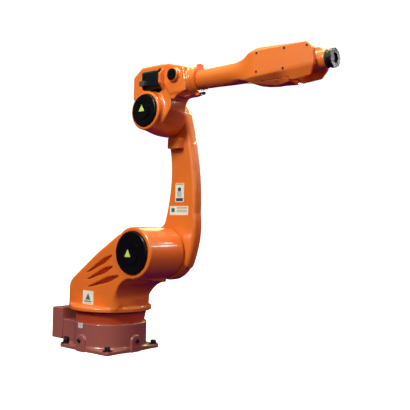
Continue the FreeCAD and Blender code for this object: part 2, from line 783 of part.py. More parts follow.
def forearm_motor_flange():
    """Octagonal flange between the motor and the housing."""
    body = new_body("forearm_motor_flange")
    half = S.motor_flange_size / 2
    corner = half * OCTAGON_CORNER
    low_y, high_y = S.motor_y - half, S.motor_y + half
    low, high = motor_level() - half, motor_level() + half
    points = [
        (low_y + corner, low), (high_y - corner, low), (high_y, low + corner),
        (high_y, high - corner), (high_y - corner, high), (low_y + corner, high),
        (low_y, high - corner), (low_y, low + corner),
    ]
    pad(body, "forearm_motor_flange_pad", "X", S.housing_rear - S.motor_flange_thick, S.housing_rear,
        outline(points))
    return body


def motor_connector():
    rear = S.housing_rear - S.motor_flange_thick - S.motor_length
    near = S.motor_y - S.motor_side / 2
    low = motor_level() - S.motor_side / 2
    return rounded_box("motor_connector", "Y", (near - S.socket_height, near),
                       (rear, rear + S.socket_width), (low + S.motor_edge, low + S.motor_edge
                                                       + S.socket_depth), S.socket_edge)


def rear_cover():
    """Rounded cover over the drives behind the elbow."""
    low, top = roll_level() + S.cover_low, roll_level() + S.cover_top
    body = new_body("rear_cover")
    pad(body, "rear_cover_pad", "Y", S.cover_near, S.cover_far, outline([
        (S.cover_rear, low),
        (S.housing_rear - S.seat_gap, low),
        (S.housing_rear - S.seat_gap, roll_level() + S.cover_front_top),
        (S.cover_crown, top),
        (S.cover_rear + S.cover_slope, top),
        (S.cover_rear, top - S.cover_slope_drop),
    ]))
    dress(body, "Fillet", "rear_cover_round", S.cover_edge, runs_along("Y"))
    return body


def boss_cap():
    return cylinder("side_boss_cap", "Y", S.boss_cap_radius,
                    (S.boss_x, -S.boss_reach - S.boss_cap_thick, roll_level() + S.boss_rise),
                    S.boss_cap_thick)


# ---------------------------------------------------------------- forearm

def collar_rear():
    return S.housing_nose + S.seat_gap


def forearm_collar():
    """Ring that joins the forearm to its drive, with a stop lug above and below."""
    body = new_body("forearm_collar")
    half = S.collar_lug / 2
    rear, front = collar_rear(), collar_rear() + S.collar_length
    pad(body, "collar_ring", "X", rear, front, circle(0, roll_level(), S.collar_radius))
    pad(body, "collar_lugs", "X", rear, front,
        rectangle(-half, half, roll_level() - S.collar_lug_reach, roll_level() + S.collar_lug_reach))
    return body


def collar_buffer():
    level = roll_level() - S.collar_lug_reach + S.buffer_radius
    return cylinder("forearm_stop_buffer", "X", S.buffer_radius,
                    (collar_rear() + S.collar_length, 0, level), S.buffer_length)


def loft_rings(rings):
    """Closed solid through rings of (x, half width, top, low, corner radius)."""
    wires = []
    for x, half, top, low, corner in rings:
        wires.append(rounded_ring(x, half, top, low, corner))
    return Part.makeLoft(wires, True, True)


def rounded_ring(x, half, top, low, corner):
    """Wire across X: a rectangle with round corners."""
    centres = ((half - corner, top - corner, 0), (-half + corner, top - corner, 90),
               (-half + corner, -low + corner, 180), (half - corner, -low + corner, 270))
    edges, spots = [], []
    for centre_y, centre_z, start in centres:
        arc = [Vector(x, centre_y + corner * math.cos(math.radians(start + turn)),
                      centre_z + corner * math.sin(math.radians(start + turn)))
               for turn in (0, 45, 90)]
        spots.append(arc)
    for number, arc in enumerate(spots):
        edges.append(Part.Arc(*arc).toShape())
        edges.append(Part.LineSegment(arc[2], spots[(number + 1) % 4][0]).toShape())
    return Part.Wire(edges)


def flare():
    """Smooth change from the round tube to the flat-sided wrist head."""
    item = DOC.addObject("Part::Feature", "forearm_flare")
    tube = S.tube_front_radius.value
    item.Shape = loft_rings([
        (S.tube_front.value, tube, tube, tube, tube * 0.96),
        (S.head_rear.value, S.head_half.value, S.head_top.value, S.head_low.value, S.head_edge.value),
    ])
    item.Placement = Placement(Vector(0, 0, roll_level().value), Rotation())
    return item


def fork_inner():
    return S.wrist_half + S.seat_gap


def fork_outline():
    """Fork arm in side view: full height behind the wrist axis, cut back above and below it."""
    level = roll_level()
    return [
        (S.head_front, level - S.fork_low),
        (S.fork_bottom_front, level - S.fork_low),
        (S.fork_front, level - S.fork_nose_low),
        (S.fork_front, level + S.fork_nose_top),
        (S.fork_top_front, level + S.head_top),
        (S.head_front, level + S.head_top),
    ]


def head_outline():
    """Section of the wrist head: upright sides, the lower corners cut back to the keel."""
    level = roll_level()
    side, low, top = level - S.side_cover_low, level - S.head_low, level + S.head_top
    return [
        (-S.head_half, top),
        (-S.head_half, side),
        (-S.keel_half, low),
        (S.keel_half, low),
        (S.head_half, side),
        (S.head_half, top),
    ]


def forearm_casting():
    """Tube, flare, wrist head and fork in one casting."""
    rear = collar_rear() + S.collar_length
    tube = cone("forearm_tube", "X", S.tube_rear_radius, S.tube_front_radius,
                (rear, 0, roll_level()), S.tube_front - rear)
    head = new_body("forearm_head")
    pad(head, "forearm_head_pad", "X", S.head_rear, S.head_front, outline(head_outline()))
    dress(head, "Fillet", "forearm_head_round", S.head_edge, runs_along("X"))
    arms = []
    for side, label in ((-1, "near"), (1, "far")):
        start, end = (fork_inner(), S.head_half) if side > 0 else (-S.head_half, -fork_inner())
        arm = new_body("fork_arm_" + label)
        pad(arm, f"fork_{label}_bar", "Y", start, end, outline(fork_outline()))
        arms.append(arm)
    return fuse("forearm_casting", [tube, flare(), head] + arms)


def side_cover(name, side):
    """Thin cover screwed to the side of the wrist head."""
    body = new_body(name)
    inner, outer = S.head_half, S.head_half + S.side_cover_thick
    start, end = (inner, outer) if side > 0 else (-outer, -inner)
    low, top = roll_level() - S.side_cover_low, roll_level() + S.side_cover_top
    pad(body, name + "_pad", "Y", start, end, outline([
        (S.head_rear, low),
        (S.side_cover_front - S.side_cover_nose / 2, low + S.side_cover_slant),
        (S.side_cover_front, low + S.side_cover_slant + S.side_cover_nose),
        (S.side_cover_front, top - S.side_cover_nose),
        (S.side_cover_front - S.side_cover_nose, top),
        (S.head_rear, top),
    ]))
    return body


def bottom_cover():
    """Keel-shaped cover under the wrist head."""
    body = new_body("wrist_bottom_cover")
    join = roll_level() - S.head_low
    bottom = roll_level() - S.keel_low
    pad(body, "bottom_cover_pad", "Y", -S.keel_half, S.keel_half, outline([
        (S.head_rear, join),
        (S.head_rear + S.keel_slope, bottom),
        (S.head_front - S.keel_nose, bottom),
        (S.head_front, join),
    ]))
    return body


# ---------------------------------------------------------------- wrist

def wrist_housing():
    """Knuckle that tilts between the fork arms, with the barrel of the tool drive."""
    body = new_body("wrist_housing")
    pad(body, "wrist_knuckle", "Y", -S.wrist_half, S.wrist_half,
        circle(S.wrist_x, roll_level(), S.wrist_radius))
    pad(body, "wrist_barrel", "X", S.wrist_x, S.barrel_front, circle(0, roll_level(), S.barrel_radius))
    return body


def seal_ring():
    return cylinder("wrist_seal_ring", "X", S.seal_radius, (S.barrel_front, 0, roll_level()),
                    S.seal_length)


def tool_flange():
    """Flange to ISO 9409-1-63-4-M6 on a waisted hub."""
    body = new_body("tool_flange")
    rear = S.barrel_front + S.seal_length + S.seat_gap
    face = rear + S.tool_hub + S.tool_plate
    pad(body, "tool_hub_pad", "X", rear, rear + S.tool_hub, circle(0, roll_level(), S.tool_waist))
    pad(body, "tool_plate_pad", "X", rear + S.tool_hub, face, circle(0, roll_level(), S.tool_radius))
    pocket(body, "tool_pilot", "X", face - S.pilot_depth, face, circle(0, roll_level(), S.pilot_radius))
    for number in range(int(S.tool_bolts.value)):
        turn = math.radians(45 + 360 * number / S.tool_bolts.value)
        reach = S.tool_pitch / 2
        pocket(body, f"tool_bolt_hole_{number}", "X", face - S.tool_bolt_depth, face,
               circle(reach * round(math.cos(turn), 9), roll_level() + reach * round(math.sin(turn), 9),
                      S.tool_bolt / 2))
    return body


# ---------------------------------------------------------------- assembly

def build():
    return [
        base_casting(),
        connector_box(),
        connector_panel(),
        connector_hood("power_connector", -1),
        connector_hood("signal_connector", 1),
        gland("air_inlet", -S.gland_offset),
        gland("earth_gland", S.gland_offset),
        reducer_ring(),
        turret_casting(),
        turret_stop(),
        motor_cap("shoulder_motor_cap", S.shoulder_x, S.shoulder_level, S.turret_near,
                  S.drum_radius - S.drum_rim),
        joint_flange("shoulder_output_flange", S.shoulder_x, S.shoulder_level,
                     S.drum_radius - S.drum_rim, S.turret_far),
        link_arm_casting(),
        hub_cover("shoulder_hub_cover", S.shoulder_x, S.shoulder_level, S.arm_hub_radius),
        hub_cover("elbow_hub_cover", S.elbow_x, elbow_level(), S.arm_head_radius),
        elbow_rest(),
        elbow_casting(),
        motor_cap("elbow_motor_cap", S.elbow_x, elbow_level(), S.elbow_near,
                  S.elbow_drum_radius - S.elbow_rim),
        joint_flange("elbow_output_flange", S.elbow_x, elbow_level(),
                     S.elbow_drum_radius - S.elbow_rim, S.elbow_far),
        forearm_motor_flange(),
        forearm_motor(),
        motor_connector(),
        rear_cover(),
        boss_cap(),
        forearm_collar(),
        collar_buffer(),
        forearm_casting(),
        side_cover("wrist_cover_near", -1),
        side_cover("wrist_cover_far", 1),
        bottom_cover(),
        wrist_housing(),
        seal_ring(),
        tool_flange(),
    ]


def check_document():
    for item in DOC.Objects:
        if "Invalid" in item.State or "Error" in item.State:
            raise RuntimeError(f"{item.Name}: {item.State}")


def export(parts):
    os.makedirs("parts", exist_ok=True)
    for item in parts:
        shape = item.Shape
        if shape.isNull() or not shape.isValid():
            raise RuntimeError(f"{item.Label} has no valid shape")
    for item in parts:
        item.Shape.exportStep(f"parts/{item.Label}.step")


PARTS = build()
DOC.recompute()
check_document()
export(PARTS)
for part in PARTS:
    print(part.Label, len(part.Shape.Solids), round(part.Shape.Volume / 1e6, 3), "litres")
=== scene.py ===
"""Looks of a six-axis industrial robot arm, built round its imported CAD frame.

The castings are smooth skins of signed-distance fields. Fields, profiles and small pieces are
written in millimetres in the row frame, and become metres when a mesh is made.
"""
import json
import math

import bpy
import numpy as np
from mathutils import Matrix, Vector


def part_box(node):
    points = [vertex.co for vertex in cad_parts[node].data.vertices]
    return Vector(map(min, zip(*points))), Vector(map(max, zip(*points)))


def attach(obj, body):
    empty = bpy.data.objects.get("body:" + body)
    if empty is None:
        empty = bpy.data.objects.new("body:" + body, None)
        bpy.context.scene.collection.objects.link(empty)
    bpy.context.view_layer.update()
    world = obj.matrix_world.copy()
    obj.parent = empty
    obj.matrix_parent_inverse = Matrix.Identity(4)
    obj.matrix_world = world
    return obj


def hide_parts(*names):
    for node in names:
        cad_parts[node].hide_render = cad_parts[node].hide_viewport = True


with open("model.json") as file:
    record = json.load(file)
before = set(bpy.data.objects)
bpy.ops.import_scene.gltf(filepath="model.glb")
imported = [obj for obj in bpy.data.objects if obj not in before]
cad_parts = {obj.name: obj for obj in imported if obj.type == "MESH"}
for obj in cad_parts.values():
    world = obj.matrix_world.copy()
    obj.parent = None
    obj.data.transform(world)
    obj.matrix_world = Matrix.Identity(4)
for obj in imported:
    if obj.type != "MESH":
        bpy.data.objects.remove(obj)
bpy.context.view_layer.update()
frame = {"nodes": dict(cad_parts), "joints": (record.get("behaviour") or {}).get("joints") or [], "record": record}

MM = 0.001
NEWTON_STEPS = 6        # times that a skin is pulled onto its field's zero surface
LONGEST_MOVE = 0.7      # furthest pull each time, as a share of the grid step
SHARP_ANGLE = 35        # degrees between faces that show a crisp edge
SINK = 0.2              # how far a screw starts inside the face it sits on
DECAL_SINK = 0.5        # how far a label starts inside its face
DECAL_BEVEL = 0.25
JOINT_SPOT = {joint["name"]: [value / MM for value in joint["pos_m"]] for joint in frame["joints"]}
SHOULDER_X, _, SHOULDER_Z = JOINT_SPOT["shoulder_pivot"]
ELBOW_X, _, ELBOW_Z = JOINT_SPOT["elbow_pivot"]
WRIST_X, _, ROLL_Z = JOINT_SPOT["wrist_bend"]


def cad_box(node):
    """Lowest and highest corner of a CAD node, in millimetres."""
    low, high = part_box(node)
    return np.array(low) / MM, np.array(high) / MM


# ---------------------------------------------------------------- signed distances

def smooth_min(first, second, blend):
    """Union of two distances, with a fillet about as wide as the blend."""
    share = np.clip(0.5 + 0.5 * (second - first) / blend, 0, 1)
    return second + (first - second) * share - blend * share * (1 - share)


def smooth_max(first, second, blend):
    """Intersection of two distances, with its edge softened."""
    return -smooth_min(-first, -second, blend)


def minus(solid, tool, blend):
    """Solid without the tool, with the cut's edge softened."""
    return smooth_max(solid, -tool, blend)


def both(first, second, edge):
    """Intersection of two distances with a convex edge of that radius."""
    a, b = first + edge, second + edge
    return np.minimum(np.maximum(a, b), 0) + np.hypot(np.maximum(a, 0), np.maximum(b, 0)) - edge


def slab(value, low, high):
    """Distance to the layer between two values of one coordinate."""
    return np.abs(value - (low + high) / 2) - (high - low) / 2


def disc(u, v, centre_u, centre_v, radius):
    """Distance to a circle in the (u, v) plane."""
    return np.hypot(u - centre_u, v - centre_v) - radius


def rectangle(u, v, low_u, high_u, low_v, high_v, corner):
    """Distance to a rectangle with rounded corners in the (u, v) plane."""
    return both(slab(u, low_u, high_u), slab(v, low_v, high_v), corner)


def outline(u, v, points):
    """Distance to a closed polygon, negative inside."""
    nearest = np.full(np.broadcast(u, v).shape, np.inf)
    sign = np.ones(nearest.shape)
    for (au, av), (bu, bv) in zip(points, points[1:] + points[:1]):
        eu, ev = bu - au, bv - av
        wu, wv = u - au, v - av
        along = np.clip((wu * eu + wv * ev) / (eu * eu + ev * ev), 0, 1)
        nearest = np.minimum(nearest, np.hypot(wu - eu * along, wv - ev * along))
        above, below = v >= av, v < bv
        left = eu * wv > ev * wu
        sign = np.where((above & below & left) | (~above & ~below & ~left), -sign, sign)
    return sign * nearest


def soften(corners, step=12):
    """Closed outline from (u, v, radius) corners: each corner becomes a tangent arc."""
    points = []
    count = len(corners)
    for number, (u, v, radius) in enumerate(corners):
        spot = np.array((u, v), float)
        if radius == 0:
            points.append((u, v))
            continue
        before = np.array(corners[number - 1][:2], float) - spot
        after = np.array(corners[(number + 1) % count][:2], float) - spot
        before /= np.linalg.norm(before)
        after /= np.linalg.norm(after)
        half = math.acos(np.clip(before @ after, -1, 1)) / 2
        bisector = (before + after) / np.linalg.norm(before + after)
        centre = spot + bisector * radius / math.sin(half)
        start = spot + before * radius / math.tan(half) - centre
        turn = math.pi - 2 * half
        side = math.copysign(1, before[1] * after[0] - before[0] * after[1])
        pieces = max(2, int(math.degrees(turn) / step) + 1)
        for piece in range(pieces + 1):
            angle = side * turn * piece / pieces
            cos, sin = math.cos(angle), math.sin(angle)
            points.append((centre[0] + cos * start[0] - sin * start[1],
                           centre[1] + sin * start[0] + cos * start[1]))
    return points


def arc_outline(points, step=6):
    """Closed outline from (u, v) points; (u, v, radius, side) reaches the next point along an arc."""
    result = []
    for number, point in enumerate(points):
        start = np.array(point[:2], float)
        end = np.array(points[(number + 1) % len(points)][:2], float)
        result.append(tuple(start))
        if len(point) < 3:
            continue
        radius, side = point[2:]
        chord = end - start
        length = np.linalg.norm(chord)
        normal = np.array((-chord[1], chord[0])) / length
        centre = (start + end) / 2 + normal * side * math.sqrt(radius * radius - length * length / 4)
        first = math.atan2(*(start - centre)[::-1])
        turn = (math.atan2(*(end - centre)[::-1]) - first + math.pi) % (2 * math.pi) - math.pi
        pieces = max(2, int(abs(math.degrees(turn)) / step) + 1)
        for piece in range(1, pieces):
            angle = first + turn * piece / pieces
            result.append((centre[0] + radius * math.cos(angle), centre[1] + radius * math.sin(angle)))
    return result


def smooth_step(value, low, high):
    """Share that eases from 0 at low to 1 at high."""
    share = np.clip((value - low) / (high - low), 0, 1)
    return share * share * (3 - 2 * share)


# ---------------------------------------------------------------- meshes

def new_piece(name, vertices, faces, body, materials, smooth=True):
    """Mesh object from millimetre vertices, with a list of finishes, riding on a body."""
    mesh = bpy.data.meshes.new(name)
    mesh.from_pydata([tuple(v) for v in np.asarray(vertices) * MM], [], faces)
    mesh.validate()
    for finish in materials:
        mesh.materials.append(finish)
    if smooth:
        mesh.shade_smooth()
    piece = bpy.data.objects.new(name, mesh)
    bpy.context.scene.collection.objects.link(piece)
    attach(piece, body)
    return piece


def gradient(field, spots, reach=0.05):
    """Slope of a field at (n, 3) spots, from values a short reach to either side."""
    parts = []
    for axis in range(3):
        ahead, behind = spots.copy(), spots.copy()
        ahead[:, axis] += reach
        behind[:, axis] -= reach
        parts.append((field(*ahead.T) - field(*behind.T)) / (2 * reach))
    return np.stack(parts, 1)


def skin(name, field, low, high, step, body, slot, replaced):
    """Surface-nets skin of a field between two corners, with normals taken from the field."""
    axes = [np.arange(a, b + step, step) for a, b in zip(low, high)]
    shape = tuple(len(axis) for axis in axes)
    inside = np.broadcast_to(field(*np.ix_(*axes)), shape) < 0
    nx, ny, nz = (size - 1 for size in shape)
    count = sum(inside[i:i + nx, j:j + ny, k:k + nz].astype(np.int8)
                for i in (0, 1) for j in (0, 1) for k in (0, 1))
    mixed = (count > 0) & (count < 8)
    number = np.full(mixed.shape, -1)
    cells = np.argwhere(mixed)
    number[mixed] = np.arange(len(cells))
    spots = np.array(low) + (cells + 0.5) * step
    for _ in range(NEWTON_STEPS):
        slope = gradient(field, spots)
        steepness = np.maximum((slope ** 2).sum(1), 1e-6)
        move = slope * (field(*spots.T) / steepness)[:, None]
        length = np.linalg.norm(move, axis=1)[:, None]
        spots = spots - move * np.minimum(1, LONGEST_MOVE * step / np.maximum(length, 1e-9))
    faces = []
    for axis in range(3):
        second, third = (axis + 1) % 3, (axis + 2) % 3
        first_side = inside.take(range(shape[axis] - 1), axis)
        crossing = np.argwhere(first_side != inside.take(range(1, shape[axis]), axis))
        keep = ((crossing[:, second] > 0) & (crossing[:, second] < shape[second] - 1)
                & (crossing[:, third] > 0) & (crossing[:, third] < shape[third] - 1))
        crossing = crossing[keep]
        ring = []
        for back_second, back_third in ((0, 0), (1, 0), (1, 1), (0, 1)):
            cell = crossing.copy()
            cell[:, second] -= back_second
            cell[:, third] -= back_third
            ring.append(number[tuple(cell.T)])
        quads = np.stack(ring, 1)
        outward = first_side[tuple(crossing.T)]
        quads[~outward] = quads[~outward][:, ::-1]
        faces.append(quads)
    piece = new_piece(name, spots, np.concatenate(faces).tolist(), body, [SLOT_FINISH[slot]])
    normals = gradient(field, spots)
    normals /= np.linalg.norm(normals, axis=1)[:, None]
    piece.data.normals_split_custom_set_from_vertices(normals.tolist())
    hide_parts(replaced)


def facing(direction):
    """Rotation that turns local +Z to a direction."""
    return Vector(direction).to_track_quat("Z", "Y").to_matrix()


def lathe(rings, segments=24):
    """Closed turned shape along +Z from (radius, height, sides) rings; sides 6 makes a hexagon."""
    vertices, faces = [(0, 0, rings[0][1])], []
    for radius, height, sides in rings:
        for number in range(segments):
            angle = 2 * math.pi * number / segments
            reach = radius
            if sides:
                wedge = 2 * math.pi / sides
                reach = radius * math.cos(wedge / 2) / math.cos((angle % wedge) - wedge / 2)
            vertices.append((reach * math.cos(angle), reach * math.sin(angle), height))
    vertices.append((0, 0, rings[-1][1]))
    last = len(vertices) - 1
    for number in range(segments):
        after = (number + 1) % segments
        faces.append((0, 1 + after, 1 + number))
        for ring in range(len(rings) - 1):
            low, high = 1 + ring * segments, 1 + (ring + 1) * segments
            faces.append((low + number, low + after, high + after, high + number))
        top = 1 + (len(rings) - 1) * segments
        faces.append((top + number, top + after, last))
    return np.array(vertices, float), faces


def socket_screw(radius, height, washer=0):
    """Socket-head screw seen from outside, with a hexagon socket and, if wanted, a washer."""
    edge, depth = radius * 0.14, height * 0.6
    mouth, wall, floor, tip = radius * 0.62, radius * 0.58, radius * 0.56, radius * 0.2
    top = washer + height
    rings = []
    if washer:
        rim = radius * 1.65
        rings += [(rim, -SINK, 0), (rim, washer * 0.8, 0), (rim - washer * 0.3, washer, 0)]
    rings += [(radius, washer or -SINK, 0), (radius, top - edge, 0), (radius - edge, top, 0), (mouth, top, 6),
              (wall, top - edge, 6), (floor, top - depth, 6), (tip, top - depth - edge, 0)]
    return lathe(rings)


def fasteners(name, body, finish, shape, spots, direction):
    """Equal fasteners on one body, joined in one mesh, with their heads facing the direction."""
    local, local_faces = shape
    turn = np.array(facing(direction))
    vertices, faces = [], []
    for spot in spots:
        offset = len(vertices)
        vertices.extend(local @ turn.T + np.array(spot, float))
        faces.extend(tuple(index + offset for index in face) for face in local_faces)
    piece = new_piece(name, vertices, faces, body, [finish])
    piece.data.set_sharp_from_angle(angle=math.radians(SHARP_ANGLE))


def circle_spots(centre, radius, count, axis, start=0):
    """Spots round a circle that faces along axis 0, 1 or 2."""
    first, second = [other for other in range(3) if other != axis]
    spots = []
    for number in range(count):
        angle = math.radians(start + 360 * number / count)
        spot = list(centre)
        spot[first] += radius * math.cos(angle)
        spot[second] += radius * math.sin(angle)
        spots.append(spot)
    return spots


def prism(points, low, high, bevel):
    """Closed prism over (u, v) points from low to high, with a bevelled top edge."""
    points = np.array(points, float)
    middle = points.mean(0)
    inset = middle + (points - middle) * (1 - bevel / np.linalg.norm(points - middle, axis=1).max())
    count = len(points)
    rings = [(points, low), (points, high - bevel), (inset, high)]
    vertices = [(u, v, height) for ring, height in rings for u, v in ring]
    faces = [tuple(reversed(range(count)))]
    for level in range(2):
        for number in range(count):
            after = (number + 1) % count
            faces.append((level * count + number, level * count + after,
                          (level + 1) * count + after, (level + 1) * count + number))
    faces.append(tuple(range(2 * count, 3 * count)))
    return vertices, faces


def decal(name, body, patches, origin, across=(1, 0, 0)):
    """Thin upright plates on a face: each patch is (outline round the origin, thickness, finish)."""
    across, up = np.array(across, float), np.array((0, 0, 1), float)
    outward = np.cross(across, up)
    vertices, faces, owners, materials = [], [], [], []
    for points, thickness, finish in patches:
        local, local_faces = prism(points, -DECAL_SINK, thickness, min(DECAL_BEVEL, thickness / 2))
        offset = len(vertices)
        vertices.extend(np.array(origin) + across * u + up * v + outward * height for u, v, height in local)
        faces.extend(tuple(index + offset for index in face) for face in local_faces)
        if finish not in materials:
            materials.append(finish)
        owners.extend([materials.index(finish)] * len(local_faces))
    piece = new_piece(name, vertices, faces, body, materials, smooth=False)
    piece.data.polygons.foreach_set("material_index", owners)


def plate_outline(centre_u, centre_v, width, height, corner):
    """Rectangle with rounded corners round a centre."""
    left, right = centre_u - width / 2, centre_u + width / 2
    low, high = centre_v - height / 2, centre_v + height / 2
    spots = ((left, low), (right, low), (right, high), (left, high))
    return soften([(*spot, corner) for spot in spots], step=30)


def triangle_outline(centre_u, centre_v, side, corner):
    """Upright triangle with rounded corners round a centre."""
    reach = side / math.sqrt(3)
    corners = []
    for degrees in (210, 330, 90):
        angle = math.radians(degrees)
        corners.append((centre_u + reach * math.cos(angle), centre_v + reach * math.sin(angle), corner))
    return soften(corners, step=30)


# ---------------------------------------------------------------- materials

def material(name, colour, other, roughness, scale, metallic=0.0, coat=0.0, coat_roughness=0.05, grain=600,
             bump=0.02, streak=(1, 1, 1), specular=0.5):
    """Procedural finish: mottled colour between two tones, uneven gloss and fine surface grain."""
    made = bpy.data.materials.new(name)
    made.use_nodes = True
    nodes, links = made.node_tree.nodes, made.node_tree.links
    shader = nodes["Principled BSDF"]
    shader.inputs["Metallic"].default_value = metallic
    shader.inputs["Coat Weight"].default_value = coat
    shader.inputs["Coat Roughness"].default_value = coat_roughness
    shader.inputs["Specular IOR Level"].default_value = specular
    place = nodes.new("ShaderNodeTexCoord")
    stretch = nodes.new("ShaderNodeMapping")
    stretch.inputs["Scale"].default_value = streak
    links.new(place.outputs["Object"], stretch.inputs["Vector"])
    cloud = nodes.new("ShaderNodeTexNoise")
    cloud.inputs["Scale"].default_value = scale
    cloud.inputs["Detail"].default_value = 5
    links.new(stretch.outputs["Vector"], cloud.inputs["Vector"])
    tones = nodes.new("ShaderNodeValToRGB")
    for stop, position, tone in zip(tones.color_ramp.elements, (0.25, 0.75), (colour, other)):
        stop.position = position
        stop.color = (*tone, 1)
    links.new(cloud.outputs["Fac"], tones.inputs["Fac"])
    links.new(tones.outputs["Color"], shader.inputs["Base Color"])
    gloss = nodes.new("ShaderNodeMapRange")
    gloss.inputs["To Min"].default_value = roughness * 0.8
    gloss.inputs["To Max"].default_value = roughness * 1.2
    links.new(cloud.outputs["Fac"], gloss.inputs["Value"])
    links.new(gloss.outputs["Result"], shader.inputs["Roughness"])
    fine = nodes.new("ShaderNodeTexNoise")
    fine.inputs["Scale"].default_value = grain
    fine.inputs["Detail"].default_value = 2
    links.new(stretch.outputs["Vector"], fine.inputs["Vector"])
    height = nodes.new("ShaderNodeBump")
    height.inputs["Strength"].default_value = bump
    height.inputs["Distance"].default_value = 0.002
    links.new(fine.outputs["Fac"], height.inputs["Height"])
    links.new(height.outputs["Normal"], shader.inputs["Normal"])
    return made


def print_finish(name, colour, other, roughness=0.45, scale=60, coat=0.0):
    """Finish of a label or of a patch printed on it."""
    return material(name, colour, other, roughness, scale, coat=coat, grain=500)


ORANGE = material("orange_paint", (0.82, 0.180, 0.018), (0.75, 0.150, 0.014), 0.38, 7, coat=0.85,
                  coat_roughness=0.045, grain=260, bump=0.04)
RING = material("ring_paint", (0.60, 0.085, 0.018), (0.50, 0.06, 0.014), 0.32, 9, coat=0.5, grain=260,
                bump=0.05)
BASE = material("base_paint", (0.36, 0.100, 0.085), (0.31, 0.086, 0.074), 0.36, 6, coat=0.8,
                coat_roughness=0.08, grain=240, bump=0.06)
BLACK = material("black_cover", (0.002, 0.0022, 0.003), (0.004, 0.0044, 0.006), 0.24, 12, coat=0.06,
                 grain=500, specular=0.2)
MOTOR = material("motor_black", (0.002, 0.005, 0.007), (0.004, 0.009, 0.012), 0.34, 14, coat=0.06,
                 grain=420, bump=0.08, specular=0.2)
DARK_STEEL = material("dark_steel", (0.10, 0.09, 0.09), (0.16, 0.14, 0.13), 0.36, 20, metallic=0.8,
                      grain=700, bump=0.05, streak=(1, 8, 1))
FLANGE = material("flange_steel", (0.005, 0.005, 0.006), (0.010, 0.010, 0.012), 0.30, 18, metallic=0.2,
                  coat=0.3, bump=0.05)
BOLT = material("bolt_black", (0.012, 0.018, 0.028), (0.022, 0.030, 0.042), 0.36, 40, metallic=0.6,
                grain=900, bump=0.05)
ZINC = material("plated_fitting", (0.55, 0.46, 0.32), (0.66, 0.60, 0.48), 0.30, 30, metallic=0.9,
                grain=700, bump=0.04)
GREY = material("grey_panel", (0.035, 0.037, 0.04), (0.055, 0.058, 0.06), 0.45, 16, grain=500, bump=0.06)
RUBBER = material("rubber", (0.012, 0.011, 0.011), (0.022, 0.020, 0.019), 0.7, 30, grain=800, bump=0.15)
LABEL = print_finish("label_white", (0.80, 0.80, 0.74), (0.74, 0.75, 0.70), 0.4, 20, 0.3)
LABEL_GREY = print_finish("label_grey", (0.42, 0.46, 0.47), (0.50, 0.54, 0.55))
LABEL_DARK = print_finish("label_dark", (0.030, 0.040, 0.055), (0.05, 0.065, 0.085))
LABEL_GREEN = print_finish("label_green", (0.03, 0.11, 0.075), (0.05, 0.16, 0.11))
LABEL_AMBER = print_finish("label_amber", (0.62, 0.36, 0.06), (0.70, 0.42, 0.09))
MARKER = print_finish("marker_yellow", (0.62, 0.74, 0.12), (0.54, 0.66, 0.10), 0.4, 30, 0.3)

SLOT_FINISH = {
    "orange_paint": ORANGE, "ring_paint": RING, "base_paint": BASE, "black_cover": BLACK,
    "motor_black": MOTOR, "dark_steel": DARK_STEEL, "flange_steel": FLANGE, "plated_fitting": ZINC,
    "grey_panel": GREY, "rubber": RUBBER,
}


# ---------------------------------------------------------------- base

PLATE_HALF, PLATE_THICK, PLATE_CORNER = 185.0, 20.0, 14.0
BODY_RADIUS = 190.0
BODY_TOP = cad_box("base_casting")[1][2]
BODY_EDGE = 5
FOOT_BLEND = 16
BELOW_FLOOR = -30.0             # the upper body starts here and is cut flat at the floor
LUG_ROOT, LUG_FACE = 120.0, 199.0
LUG_HALF, LUG_TOP = 31.0, 84.0
LUG_ARCH = LUG_HALF * 0.9
LUG_BLEND = 5
LUG_BOLT_LEVEL = 56
ANCHOR = 161.0
ANCHOR_ROOM = 25.0
FLANK_HALF = 159.0
BOX_BOTTOM = cad_box("connector_box")[0][2]
BOX_FRONT = cad_box("connector_box")[1][0]
ANCHOR_ROOM_TOP = BOX_BOTTOM + 14
CORNERS = [(side_x, side_y) for side_x in (-1, 1) for side_y in (-1, 1)]


def lug_field(across, out, z):
    """Arched lug that stands against the round body."""
    arch = both(slab(across, -LUG_HALF, LUG_HALF), z - LUG_TOP, LUG_ARCH)
    return both(arch, slab(out, LUG_ROOT, LUG_FACE), edge=3)


def base_field(x, y, z):
    """Base plate, round body, flat flanks, the duct to the connector box and three lugs."""
    plate = rectangle(x, y, -PLATE_HALF, PLATE_HALF, -PLATE_HALF, PLATE_HALF, PLATE_CORNER)
    plate = both(plate, slab(z, 0, PLATE_THICK), edge=4)
    body = both(disc(x, y, 0, 0, BODY_RADIUS), slab(z, BELOW_FLOOR, BODY_TOP), BODY_EDGE)
    flank = rectangle(x, y, -PLATE_HALF, 0, -FLANK_HALF, FLANK_HALF, BODY_EDGE)
    flank = both(flank, slab(z, BELOW_FLOOR, BOX_BOTTOM), edge=4)
    duct = rectangle(x, y, BOX_FRONT, 0, -FLANK_HALF, FLANK_HALF, 4)
    duct = both(duct, slab(z, BOX_BOTTOM, BODY_TOP), BODY_EDGE)
    upper = smooth_min(np.minimum(body, flank), duct, blend=3)
    solid = smooth_min(plate, both(upper, -z, edge=2), FOOT_BLEND)
    for across, out in ((x, -y), (x, y), (y, x)):
        solid = smooth_min(solid, lug_field(across, out, z), LUG_BLEND)
    for side_x, side_y in CORNERS:
        bolt = disc(x, y, ANCHOR * side_x, ANCHOR * side_y, ANCHOR_ROOM)
        solid = minus(solid, both(bolt, slab(z, PLATE_THICK, ANCHOR_ROOM_TOP), edge=2), blend=3)
    return np.maximum(solid, -z)


# ---------------------------------------------------------------- turret

